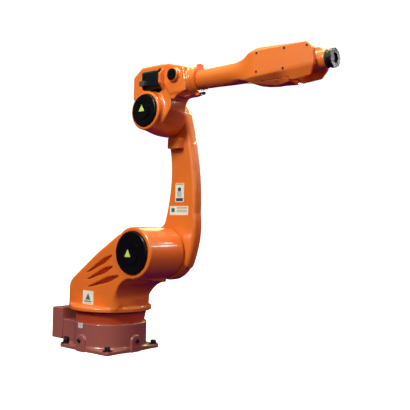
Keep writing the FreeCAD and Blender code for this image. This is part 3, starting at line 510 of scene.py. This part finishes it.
TURRET_NEAR, TURRET_FAR = -150.0, 90.0
TURRET_REAR = -174.0
TURRET_EDGE = 24
DRUM_RADIUS = 125.0
DRUM_EDGE = 9
FLANGE_BOTTOM, FLANGE_TOP, FLANGE_RADIUS = 204.0, 226.0, 214.0
SKIRT_RADIUS, SKIRT_TOP = 203.0, 280.0
SKIRT_EDGE, SKIRT_FLAT_EDGE, SKIRT_BLEND = 20, 44, 30
NECK_REAR, NECK_TOP = 187.0, 385.0      # hollow under the drum, open to the front and below
NECK_FRONT, NECK_BOTTOM = 700.0, 100.0
NECK_CORNER = 113.0
NECK_LEAN_X, NECK_LEAN_Z = 0.055, 0.115     # how far the hollow drifts with each millimetre of depth
NECK_BLEND, NECK_FOOT_BLEND = 7, 46
NECK_FADE_LOW, NECK_FADE_HIGH = 225, 345
TURRET_BACK = soften([
    (TURRET_REAR, FLANGE_BOTTOM, 0), (TURRET_REAR, 344, 74), (36, 498, 620), (226, 617, 60),
    (SHOULDER_X + 20, SHOULDER_Z, 0), (SHOULDER_X + 20, FLANGE_BOTTOM + 30, 0), (200, FLANGE_BOTTOM, 0),
], step=8)
SLOTS = (((-46, 385), (176, 500), 13), ((-42, 353), (182, 443), 14), ((-33, 317), (230, 399), 15))
SLOT_WAIST = 0.66
SLOT_TIP_RADIUS, SLOT_END_RADIUS, SLOT_BOW_RADIUS = 1.5, 4, 90
SLOT_DEPTH, SLOT_OUTSIDE = 34, 60
CAP_RADIUS = 105.3
CAP_DEPTH = 16.0


def slot_field(x, z, tip, end, half_width):
    """Sliver that is widest two thirds of the way up."""
    along = np.array(end, float) - np.array(tip, float)
    across = np.array((-along[1], along[0])) / np.linalg.norm(along) * half_width
    waist = np.array(tip) + along * SLOT_WAIST
    corners = [(*tip, SLOT_TIP_RADIUS), (*(waist - across), SLOT_BOW_RADIUS),
               (*end, SLOT_END_RADIUS), (*(waist + across), SLOT_BOW_RADIUS)]
    return outline(x, z, soften(corners, step=15))


def turret_field(x, y, z):
    """Turret casting: sloping back, hollow neck, drum, round skirt and flange, with the slots cut in."""
    wall = both(outline(x, z, TURRET_BACK), slab(y, TURRET_NEAR, TURRET_FAR), TURRET_EDGE)
    lean_x = x - NECK_LEAN_X * (y - TURRET_NEAR)
    lean_z = z + NECK_LEAN_Z * (y - TURRET_NEAR)
    neck = rectangle(lean_x, lean_z, NECK_REAR, NECK_FRONT, NECK_BOTTOM, NECK_TOP, NECK_CORNER)
    fade = NECK_BLEND + NECK_FOOT_BLEND * (1 - smooth_step(z, NECK_FADE_LOW, NECK_FADE_HIGH))
    wall = minus(wall, neck, fade)
    drum = disc(x, z, SHOULDER_X, SHOULDER_Z, DRUM_RADIUS)
    drum = both(drum, slab(y, TURRET_NEAR, TURRET_FAR), DRUM_EDGE)
    solid = smooth_min(wall, drum, DRUM_EDGE)
    skirt = both(disc(x, y, 0, 0, SKIRT_RADIUS), slab(z, FLANGE_BOTTOM, SKIRT_TOP), SKIRT_EDGE)
    skirt = both(skirt, slab(y, TURRET_NEAR, -TURRET_NEAR), SKIRT_FLAT_EDGE)
    solid = both(smooth_min(solid, skirt, SKIRT_BLEND), TURRET_NEAR - y, edge=8)
    flange = both(disc(x, y, 0, 0, FLANGE_RADIUS), slab(z, FLANGE_BOTTOM, FLANGE_TOP), edge=6)
    solid = smooth_min(solid, flange, blend=14)
    solid = both(solid, FLANGE_BOTTOM - z, edge=2)
    recess = both(disc(x, z, SHOULDER_X, SHOULDER_Z, CAP_RADIUS), y - (TURRET_NEAR + CAP_DEPTH), edge=1)
    solid = minus(solid, recess, blend=3)
    for tip, end, half_width in SLOTS:
        depth = slab(y, TURRET_NEAR - SLOT_OUTSIDE, TURRET_NEAR + SLOT_DEPTH)
        solid = minus(solid, both(slot_field(x, z, tip, end, half_width), depth, edge=1), blend=5)
    return solid


# ---------------------------------------------------------------- link arm

ARM_LOW, ARM_HIGH = cad_box("link_arm_casting")
ARM_HUB, ARM_HEAD = 138.0, 72.0
ARM_SWELL, WEB_SWELL = 3.0, 5.0         # all round, and again on the web between the hubs
HUB_BLEND, HEAD_BLEND, ARM_EDGE = 24, 20, 20
ARM_OUTLINE = arc_outline([
    (SHOULDER_X - 26, SHOULDER_Z), (SHOULDER_X + 124, SHOULDER_Z - 60, 420, 1),
    (SHOULDER_X + 168, SHOULDER_Z + 200, 1500, 1), (SHOULDER_X + 94, ELBOW_Z),
    (ELBOW_X - 71, ELBOW_Z, 640, -1), (SHOULDER_X + 17, SHOULDER_Z + 392, 900, -1),
    (SHOULDER_X - 26, SHOULDER_Z + 136),
], step=2)


def link_arm_field(x, y, z):
    """Bowed arm of even thickness between its two hubs."""
    web = outline(x, z, ARM_OUTLINE) - WEB_SWELL
    hub = disc(x, z, SHOULDER_X, SHOULDER_Z, ARM_HUB)
    head = disc(x, z, ELBOW_X, ELBOW_Z, ARM_HEAD)
    flat = smooth_min(smooth_min(web, hub, HUB_BLEND), head, HEAD_BLEND) - ARM_SWELL
    return both(flat, slab(y, ARM_LOW[1], ARM_HIGH[1]), ARM_EDGE)


# ---------------------------------------------------------------- elbow

ELBOW_NEAR, ELBOW_FAR = -100.0, 85.0
ELBOW_DRUM, ELBOW_FLARE = 95.0, 113.0
FLARE_START, FLARE_END = -96, 40
ELBOW_CAP_RADIUS = 80.3
WEB_NEAR, WEB_FAR = -66, 58
WEB_BLEND = 18
HOLLOW_X, HOLLOW_TOP = ELBOW_X + 138, ROLL_Z - 56       # concave corner between web and housing
HOLLOW_AWAY, HOLLOW_CORNER = 900, 97
HOLLOW_LEAN_X, HOLLOW_LEAN_Z = 0.114, 0.129
HOUSING_HALF = 72.0
HOUSING_REAR = 406.0
HOUSING_BLEND = 12
NOSE_RADIUS = 64.0
NOSE_FRONT = cad_box("elbow_casting")[1][0]
BOSS_X, BOSS_Z = 479.0, ROLL_Z + 24
BOSS_RADIUS, BOSS_FACE = 33.0, -90.0
HOUSING_OUTLINE = soften([
    (HOUSING_REAR, ROLL_Z - 6, 6), (HOUSING_REAR + 44, ROLL_Z - 64, 10), (532, ROLL_Z - 64, 20),
    (548, ROLL_Z, 0), (536, ROLL_Z + 60, 14), (HOUSING_REAR + 26, ROLL_Z + 87, 14),
    (HOUSING_REAR, ROLL_Z + 86, 8),
], step=20)
ELBOW_WEB = soften([
    (ELBOW_X, ELBOW_Z - 70, 0), (ELBOW_X + 84, ELBOW_Z - 66, 30), (ELBOW_X + 139, ELBOW_Z + 4, 60),
    (ELBOW_X + 139, ROLL_Z - 90, 0), (NOSE_FRONT - 20, ROLL_Z - 90, 0),
    (NOSE_FRONT - 20, ROLL_Z, 0), (392, ROLL_Z, 0), (392, ELBOW_Z + 84, 30), (ELBOW_X, ELBOW_Z + 90, 0),
], step=10)


def elbow_field(x, y, z):
    """Flared drum, web, motor housing, round nose and side boss of the elbow."""
    radius = ELBOW_DRUM + (ELBOW_FLARE - ELBOW_DRUM) * smooth_step(y, FLARE_START, FLARE_END)
    drum = both(disc(x, z, ELBOW_X, ELBOW_Z, radius), slab(y, ELBOW_NEAR, ELBOW_FAR), edge=8)
    web = both(outline(x, z, ELBOW_WEB), slab(y, WEB_NEAR, WEB_FAR), edge=8)
    lean_x = x + HOLLOW_LEAN_X * (y - WEB_NEAR)
    lean_z = z - HOLLOW_LEAN_Z * (y - WEB_NEAR)
    hollow = rectangle(lean_x, lean_z, HOLLOW_X, HOLLOW_AWAY, HOLLOW_AWAY, HOLLOW_TOP, HOLLOW_CORNER)
    web = minus(web, hollow, blend=6)
    solid = smooth_min(drum, web, WEB_BLEND)
    housing = both(outline(x, z, HOUSING_OUTLINE), slab(y, -HOUSING_HALF, HOUSING_HALF), edge=10)
    solid = smooth_min(solid, housing, HOUSING_BLEND)
    nose = both(disc(y, z, 0, ROLL_Z, NOSE_RADIUS), slab(x, HOUSING_REAR, NOSE_FRONT), edge=4)
    solid = smooth_min(solid, nose, blend=10)
    boss = both(disc(x, z, BOSS_X, BOSS_Z, BOSS_RADIUS), slab(y, BOSS_FACE, 0), edge=4)
    solid = smooth_min(solid, boss, blend=10)
    recess = disc(x, z, ELBOW_X, ELBOW_Z, ELBOW_CAP_RADIUS)
    return minus(solid, both(recess, y - (ELBOW_NEAR + CAP_DEPTH), edge=1), blend=3)


REAR_LOW, REAR_HIGH = cad_box("rear_cover")
REAR_SEAT = REAR_HIGH[0] - 0.5
REAR_EDGE = 13
REAR_OUTLINE = soften([
    (REAR_LOW[0], ROLL_Z - 50, 16), (REAR_SEAT, ROLL_Z - 50, 8), (REAR_SEAT, ROLL_Z + 84, 10),
    (312, REAR_HIGH[2], 40), (REAR_LOW[0] + 63, REAR_HIGH[2], 24), (REAR_LOW[0], REAR_HIGH[2] - 45, 20),
], step=15)


def rear_cover_field(x, y, z):
    """Rounded guard behind the elbow housing."""
    return both(outline(x, z, REAR_OUTLINE), slab(y, REAR_LOW[1], REAR_HIGH[1]), REAR_EDGE)


# ---------------------------------------------------------------- forearm and wrist

FOREARM_REAR = cad_box("forearm_casting")[0][0]
TUBE_REAR_RADIUS, TUBE_SWELL = 46, 4
TUBE_SWELL_START, TUBE_SWELL_END = FOREARM_REAR + 22, WRIST_X - 356
HULL_BLEND_START, HULL_BLEND_END = WRIST_X - 430, WRIST_X - 260     # where the tube becomes the head
FORK_INNER = 45.8
HEAD_FRONT = 1108.0
HULL_OUTLINE = soften([
    (WRIST_X - 440, -46, 0), (WRIST_X - 352, -47, 60), (WRIST_X - 222, -78, 12), (WRIST_X - 160, -86, 20),
    (WRIST_X - 80, -81, 60), (WRIST_X + 24, -69, 8), (WRIST_X + 44, -30, 10), (WRIST_X + 44, 40, 10),
    (WRIST_X + 10, 71, 8), (WRIST_X - 243, 87, 12), (WRIST_X - 322, 54, 90), (WRIST_X - 440, 47, 0),
], step=12)
HULL_NECK_HALF, HULL_HALF = 50, 66.6
HULL_FLARE_START, HULL_FLARE_END = WRIST_X - 390, WRIST_X - 235
TOP_FACET = 66                          # level of the top chamfer at the side faces
KEEL_LEVEL, KEEL_RISE, KEEL_FROM = 44, 0.055, WRIST_X - 240
KEEL_STEEP, KEEL_EASE = 48, 24          # degrees of the bottom facets, less towards the fork
KEEL_EASE_START, KEEL_EASE_END = WRIST_X - 150, WRIST_X - 60
HULL_SPLIT = ROLL_Z - 62
COVER_REAR = WRIST_X - 304
COVER_GAP = 0.6
WRIST_FRONT = cad_box("wrist_housing")[1][0]
PIVOT_RADIUS, PIVOT_HALF, BARREL_RADIUS = 41, 45.5, 40


def hull_field(x, y, z):
    """Faceted head of the forearm: flat sides, chamfered top and a V-shaped bottom."""
    level = z - ROLL_Z
    side = np.abs(y)
    spread = smooth_step(x, HULL_FLARE_START, HULL_FLARE_END)
    flare = HULL_NECK_HALF + (HULL_HALF - HULL_NECK_HALF) * spread
    solid = smooth_max(side - flare, outline(x, level, HULL_OUTLINE), blend=3)
    top_facet = (side + level - flare - TOP_FACET) * math.sqrt(0.5)
    solid = smooth_max(solid, top_facet, blend=3)
    keel_start = KEEL_LEVEL - KEEL_RISE * (x - KEEL_FROM)
    tilt = np.radians(KEEL_STEEP - KEEL_EASE * smooth_step(x, KEEL_EASE_START, KEEL_EASE_END))
    bottom_facet = (side - flare) * np.cos(tilt) - (level + keel_start) * np.sin(tilt)
    return smooth_max(solid, bottom_facet, blend=4)


def forearm_field(x, y, z):
    """Round tube that grows into the forked head, without the keel cover."""
    swell = smooth_step(x, TUBE_SWELL_START, TUBE_SWELL_END)
    tube = disc(y, z, 0, ROLL_Z, TUBE_REAR_RADIUS + TUBE_SWELL * swell)
    share = smooth_step(x, HULL_BLEND_START, HULL_BLEND_END)
    solid = tube * (1 - share) + hull_field(x, y, z) * share
    solid = both(solid, FOREARM_REAR - x, edge=2)
    gap = both(slab(y, -FORK_INNER, FORK_INNER), HEAD_FRONT - x, edge=3)
    solid = minus(solid, gap, blend=3)
    cover_room = np.maximum(z - HULL_SPLIT, slab(x, COVER_REAR - 1, HEAD_FRONT))
    return minus(solid, cover_room, blend=1)


def keel_field(x, y, z):
    """Cover that closes the underside of the head."""
    lower = both(hull_field(x, y, z), z - (HULL_SPLIT - COVER_GAP), edge=1)
    return both(lower, slab(x, COVER_REAR, HEAD_FRONT - 1), edge=1)


def wrist_field(x, y, z):
    """Wrist housing: round pivot in the fork, with the barrel of the tool flange in front."""
    pivot = both(disc(x, z, WRIST_X, ROLL_Z, PIVOT_RADIUS), slab(y, -PIVOT_HALF, PIVOT_HALF), edge=5)
    barrel = both(disc(y, z, 0, ROLL_Z, BARREL_RADIUS), slab(x, WRIST_X, WRIST_FRONT), edge=5)
    return smooth_min(pivot, barrel, blend=10)


# ---------------------------------------------------------------- build

FINISH_SLOT = {row["node"]: row["material_slot"] for row in frame["record"]["subparts"]}
CASTINGS = (    # name, field, corners of the sampled box, grid step, body, replaced node
    ("base_body", base_field, (-215, -215, -8), (215, 215, BODY_TOP + 8), 4.0, "base", "base_casting"),
    ("turret_body", turret_field, (-225, -225, 196), (435, 225, 642), 4.0, "turret", "turret_casting"),
    ("link_arm_body", link_arm_field, (150, 90, 360), (485, 172, 1290), 4.0, "link_arm", "link_arm_casting"),
    ("elbow_body", elbow_field, (205, -108, 1085), (NOSE_FRONT + 6, 94, 1437), 3.4, "elbow",
     "elbow_casting"),
    ("forearm_body", forearm_field, (FOREARM_REAR - 6, -72, ROLL_Z - 98), (1242, 72, ROLL_Z + 94), 3.2,
     "forearm", "forearm_casting"),
    ("forearm_keel", keel_field, (WRIST_X - 312, -72, ROLL_Z - 98), (HEAD_FRONT + 6, 72, HULL_SPLIT + 6), 2.6,
     "forearm", "wrist_bottom_cover"),
    ("rear_guard", rear_cover_field, (REAR_LOW[0] - 6, 8, ROLL_Z - 60),
     (REAR_HIGH[0] + 6, 90, REAR_HIGH[2] + 6), 4.0, "elbow", "rear_cover"),
    ("wrist_body", wrist_field, (1140, -52, ROLL_Z - 50), (WRIST_FRONT + 6, 52, ROLL_Z + 50), 2.2, "wrist",
     "wrist_housing"),
)


def build_castings():
    """Smooth skins in place of the plainer CAD castings."""
    for name, field, low, high, step, body, replaced in CASTINGS:
        skin(name, field, low, high, step, body, FINISH_SLOT[replaced], replaced)


SOFT_EDGES = {
    "forearm_motor": 4, "connector_box": 2, "wrist_cover_near": 1.2, "wrist_cover_far": 1.2,
    "forearm_motor_flange": 2.5, "elbow_stop_block": 3, "tool_flange": 0.8, "side_boss_cap": 1.2,
    "shoulder_hub_cover": 1.5, "elbow_hub_cover": 1.5, "forearm_collar": 2.0, "reducer_ring": 1.5,
    "turret_stop": 1.5, "forearm_stop_buffer": 1.5,
}


def finish_cad_nodes():
    """Gives each CAD node its finish, and softened edges to those that stay in sight."""
    for name, node in frame["nodes"].items():
        node.data.materials.clear()
        node.data.materials.append(SLOT_FINISH[FINISH_SLOT[name]])
        if name in SOFT_EDGES:
            bevel = node.modifiers.new("edge", "BEVEL")
            bevel.width = SOFT_EDGES[name] * MM
            bevel.segments = 3
            bevel.limit_method = "ANGLE"
            bevel.angle_limit = math.radians(SHARP_ANGLE)


COVER_FACE = 67                         # side covers of the head, from the mid plane
COVER_SCREWS = [(WRIST_X + ahead, ROLL_Z + level) for ahead, level in
                ((-95, 57), (14, 52), (-100, -27), (-236, 57), (-236, -24))]
HUB_COVER_FACE = ARM_HIGH[1] + 7
SHOULDER_SCREW_CIRCLE, ELBOW_SCREW_CIRCLE, TOOL_SCREW_CIRCLE = ARM_HUB - 40, ARM_HEAD - 34, 25
TOOL_FACE = cad_box("tool_flange")[1][0] - 1.3
MOTOR_FACE, MOTOR_SPOT, MOTOR_SCREW = 398, (-44, 1357), 43
PANEL_FACE, PANEL_LEVEL, PANEL_SCREW = cad_box("connector_panel")[0][0], 117, (128, 52)
LUG_BOLTS = {
    "lug_bolt_near": ((-8, -LUG_FACE, LUG_BOLT_LEVEL), (0, -1, 0)),
    "lug_bolt_far": ((-8, LUG_FACE, LUG_BOLT_LEVEL), (0, 1, 0)),
    "lug_bolt_front": ((LUG_FACE, 4, LUG_BOLT_LEVEL), (1, 0, 0)),
}


def build_fasteners():
    """Screws and bolts that the CAD leaves out, each group on its face."""
    fasteners("anchor_bolts", "base", BOLT, socket_screw(radius=15, height=16, washer=4),
              [(ANCHOR * a, ANCHOR * b, PLATE_THICK) for a, b in CORNERS], (0, 0, 1))
    for name, side in (("cover_screws", -1), ("cover_screws_far", 1)):
        fasteners(name, "forearm", BOLT, socket_screw(radius=5, height=2.5),
                  [(x, side * COVER_FACE, z) for x, z in COVER_SCREWS], (0, side, 0))
    centre = (SHOULDER_X, HUB_COVER_FACE, SHOULDER_Z)
    fasteners("shoulder_cover_screws", "link_arm", BOLT, socket_screw(radius=7, height=4),
              circle_spots(centre, SHOULDER_SCREW_CIRCLE, count=8, axis=1, start=22.5), (0, 1, 0))
    centre = (ELBOW_X, HUB_COVER_FACE, ELBOW_Z)
    fasteners("elbow_cover_screws", "link_arm", BOLT, socket_screw(radius=5, height=3),
              circle_spots(centre, ELBOW_SCREW_CIRCLE, count=6, axis=1), (0, 1, 0))
    fasteners("tool_screws", "tool_flange", ZINC, socket_screw(radius=3, height=1.2),
              circle_spots((TOOL_FACE, 0, ROLL_Z), TOOL_SCREW_CIRCLE, count=4, axis=0, start=45), (1, 0, 0))
    fasteners("motor_screws", "elbow", BOLT, socket_screw(radius=5, height=5),
              [(MOTOR_FACE, MOTOR_SPOT[0] + a * MOTOR_SCREW, MOTOR_SPOT[1] + b * MOTOR_SCREW)
               for a, b in CORNERS], (-1, 0, 0))
    fasteners("panel_screws", "base", BOLT, socket_screw(radius=4, height=2),
              [(PANEL_FACE, a * PANEL_SCREW[0], PANEL_LEVEL + b * PANEL_SCREW[1]) for a, b in CORNERS],
              (-1, 0, 0))
    for name, (spot, direction) in LUG_BOLTS.items():
        fasteners(name, "base", BOLT, socket_screw(radius=11, height=7), [spot], direction)


PAPER, PRINT = 0.6, 0.9                 # thickness of a label, and of a patch printed on it
CURVED_PAPER, CURVED_PRINT = 1.2, 1.5   # the same on the round base body
MARKER_THICK = 1.0
BASE_LABEL_TURN = math.radians(-94)
BASE_LABEL_LEVEL = 130
SHOULDER_MARKER = (SHOULDER_X - 13, cad_box("shoulder_motor_cap")[0][1], SHOULDER_Z - 8)
ELBOW_MARKER = (ELBOW_X - 8, cad_box("elbow_motor_cap")[0][1], ELBOW_Z + 5)
TURRET_LABEL = (-8, TURRET_NEAR, 266)
ARM_LABEL_UPRIGHT = (379, ARM_LOW[1], 813)
ARM_LABEL_WIDE = (377, ARM_LOW[1], 722)


def build_markers():
    """Warning triangles on the caps, and plain labels with coloured patches and no text."""
    decal("shoulder_marker", "turret", [(triangle_outline(0, 0, 42, 2), MARKER_THICK, MARKER)],
          SHOULDER_MARKER)
    decal("elbow_marker", "elbow", [(triangle_outline(0, 0, 38, 2), MARKER_THICK, MARKER)], ELBOW_MARKER)
    decal("turret_label", "turret",
          [(plate_outline(0, 0, 82, 74, 3), PAPER, LABEL),
           (triangle_outline(0, 2, 40, 2), PRINT, LABEL_GREEN),
           (plate_outline(0, -17, 56, 6, 1), PRINT, LABEL_GREEN),
           (plate_outline(0, -27, 56, 4, 1), PRINT, LABEL_GREY)],
          TURRET_LABEL)
    outward = (math.cos(BASE_LABEL_TURN), math.sin(BASE_LABEL_TURN))
    decal("base_label", "base",
          [(plate_outline(-10, 0, 17, 25, 1.5), CURVED_PAPER, LABEL),
           (plate_outline(10, 0, 17, 25, 1.5), CURVED_PAPER, LABEL),
           (plate_outline(-10, 3, 9, 15, 1), CURVED_PRINT, LABEL_GREY),
           (plate_outline(10, 3, 9, 15, 1), CURVED_PRINT, LABEL_GREY)],
          (BODY_RADIUS * outward[0], BODY_RADIUS * outward[1], BASE_LABEL_LEVEL),
          (-outward[1], outward[0], 0))
    decal("arm_label_upright", "link_arm",
          [(plate_outline(0, 0, 58, 96, 4), PAPER, LABEL),
           (plate_outline(0, 42, 50, 7, 1), PRINT, LABEL_AMBER),
           (plate_outline(-2, 16, 22, 20, 8), PRINT, LABEL_DARK),
           (plate_outline(-2, -8, 30, 30, 6), PRINT, LABEL_GREY),
           (plate_outline(0, -36, 46, 16, 2), PRINT, LABEL_DARK)],
          ARM_LABEL_UPRIGHT)
    decal("arm_label_wide", "link_arm",
          [(plate_outline(0, 0, 124, 46, 3), PAPER, LABEL),
           (plate_outline(-40, 2, 22, 20, 2), PRINT, LABEL_GREEN),
           (plate_outline(20, 14, 70, 8, 1), PRINT, LABEL_AMBER),
           (plate_outline(20, -2, 70, 12, 1), PRINT, LABEL_GREY)],
          ARM_LABEL_WIDE)


# ---------------------------------------------------------------- stage, in metres

FLOOR_FLAT, FLOOR_BEND, FLOOR_HEIGHT = 6.0, 3.0, 14.0
FLOOR_SEGMENTS, FLOOR_STEP = 96, 6
FLOOR_GLOW = 0.85
SKY_STOPS = ((0.0, (0.10, 0.005, 0.13)), (0.46, (0.09, 0.005, 0.10)), (0.54, (0.06, 0.015, 0.045)),
             (0.66, (0.20, 0.18, 0.16)), (0.80, (0.70, 0.68, 0.50)), (1.0, (0.90, 0.90, 0.55)))
SKY_STRENGTH = 0.62
SENSOR_WIDTH = 36
LENS_SHARE = 65 / 41                    # focal length over the width of the sensor
CAMERA_SPOT = (2.577, -2.337, 0.637)
CAMERA_TURN, CAMERA_PITCH, CAMERA_ROLL = (math.radians(degrees) for degrees in (39.81, 2.03, 1.39))
LIGHTS = (      # name, spot, aim, size, power, colour
    ("key", (0.5, -4.4, 3.7), (0.4, 0, 0.9), (1.2, 1.2), 245, (0.93, 1.0, 0.86)),
    ("side", (2.0, -0.9, 4.9), (0.5, 0, 0.9), (1.0, 1.0), 80, (1.0, 0.78, 0.58)),
    ("fill", (4.9, 0.6, 2.3), (0.4, 0, 0.9), (1.0, 1.6), 34, (1.0, 0.58, 0.38)),
    ("edge", (3.4, -3.3, 1.6), (0.4, 0, 0.8), (0.9, 2.2), 20, (1, 1, 1)),
    ("streak_low", (2.6, 3.15, 2.05), (0.35, 0, 0.55), (1.3, 0.06), 13, (1, 1, 1)),
    ("streak_high", (2.2, 3.2, 2.6), (0.35, 0, 0.55), (0.7, 0.06), 7, (1, 1, 1)),
    ("back", (-0.9, 4.8, 3.0), (0.4, 0, 0.9), (5.0, 2.6), 130, (1.0, 0.90, 0.40)),
    ("top", (0.6, 0.5, 4.6), (0.5, 0, 0.8), (2.2, 1.2), 125, (0.98, 1.0, 0.50)),
)


def area_light(name, spot, aim, size, power, colour):
    data = bpy.data.lights.new(name, "AREA")
    data.shape = "RECTANGLE"
    data.size, data.size_y = size
    data.energy = power
    data.color = colour
    light = bpy.data.objects.new(name, data)
    light.location = spot
    light.rotation_euler = (Vector(aim) - Vector(spot)).to_track_quat("-Z", "Y").to_euler()
    bpy.context.scene.collection.objects.link(light)


def build_floor():
    """Pale round floor that curves up into a wall all round; it casts nothing back on the paint."""
    profile = [(0.01, 0.0), (FLOOR_FLAT, 0.0)]
    for degrees in range(FLOOR_STEP, 91, FLOOR_STEP):
        angle = math.radians(degrees)
        profile.append((FLOOR_FLAT + FLOOR_BEND * math.sin(angle), FLOOR_BEND * (1 - math.cos(angle))))
    profile.append((FLOOR_FLAT + FLOOR_BEND, FLOOR_HEIGHT))
    vertices, faces = [], []
    for row, (radius, rise) in enumerate(profile):
        for number in range(FLOOR_SEGMENTS):
            angle = 2 * math.pi * number / FLOOR_SEGMENTS
            vertices.append((radius * math.cos(angle), radius * math.sin(angle), rise))
            if row + 1 < len(profile):
                here, after = row * FLOOR_SEGMENTS, (number + 1) % FLOOR_SEGMENTS
                above = here + FLOOR_SEGMENTS
                faces.append((here + number, here + after, above + after, above + number))
    faces.append(tuple(reversed(range(FLOOR_SEGMENTS))))
    mesh = bpy.data.meshes.new("floor")
    mesh.from_pydata(vertices, [], faces)
    mesh.shade_smooth()
    finish = material("pale_floor", (0.86, 0.86, 0.86), (0.84, 0.84, 0.84), 0.8, 1, grain=40, bump=0.01,
                      specular=0.1)
    shader = finish.node_tree.nodes["Principled BSDF"]
    shader.inputs["Emission Color"].default_value = (1, 1, 1, 1)
    shader.inputs["Emission Strength"].default_value = FLOOR_GLOW
    mesh.materials.append(finish)
    floor = bpy.data.objects.new("floor", mesh)
    bpy.context.scene.collection.objects.link(floor)
    floor.visible_glossy = False
    floor.visible_diffuse = False
    floor.visible_shadow = False


def build_world():
    """Soft warm sky over a dark plum lower half, so that undersides stay deep in tone."""
    world = bpy.data.worlds.new("studio")
    bpy.context.scene.world = world
    world.use_nodes = True
    nodes, links = world.node_tree.nodes, world.node_tree.links
    place = nodes.new("ShaderNodeTexCoord")
    split = nodes.new("ShaderNodeSeparateXYZ")
    ramp = nodes.new("ShaderNodeValToRGB")
    lift = nodes.new("ShaderNodeMapRange")
    lift.inputs["From Min"].default_value = -1
    lift.inputs["From Max"].default_value = 1
    stops = ramp.color_ramp.elements
    stops[-1].position, stops[-1].color = 1.0, (*SKY_STOPS[-1][1], 1)
    stops[0].color = (*SKY_STOPS[0][1], 1)
    for position, colour in SKY_STOPS[1:-1]:
        stops.new(position).color = (*colour, 1)
    links.new(place.outputs["Generated"], split.inputs["Vector"])
    links.new(split.outputs["Z"], lift.inputs["Value"])
    links.new(lift.outputs["Result"], ramp.inputs["Fac"])
    links.new(ramp.outputs["Color"], nodes["Background"].inputs["Color"])
    nodes["Background"].inputs["Strength"].default_value = SKY_STRENGTH


def build_camera():
    """Camera that stands where the photo was taken from."""
    data = bpy.data.cameras.new("camera")
    data.sensor_width = SENSOR_WIDTH
    data.lens = SENSOR_WIDTH * LENS_SHARE
    data.clip_end = 200
    camera = bpy.data.objects.new("camera", data)
    flat = math.cos(CAMERA_PITCH)
    ahead = Vector((-math.sin(CAMERA_TURN) * flat, math.cos(CAMERA_TURN) * flat, math.sin(CAMERA_PITCH)))
    level = ahead.to_track_quat("-Z", "Y").to_matrix().to_4x4()
    camera.matrix_world = Matrix.Translation(CAMERA_SPOT) @ level @ Matrix.Rotation(CAMERA_ROLL, 4, "Z")
    bpy.context.scene.collection.objects.link(camera)
    bpy.context.scene.camera = camera


def build_stage():
    bpy.context.scene.view_settings.view_transform = "Standard"
    build_floor()
    build_world()
    build_camera()
    for row in LIGHTS:
        area_light(*row)


build_stage()
finish_cad_nodes()
build_castings()
build_fasteners()
build_markers()
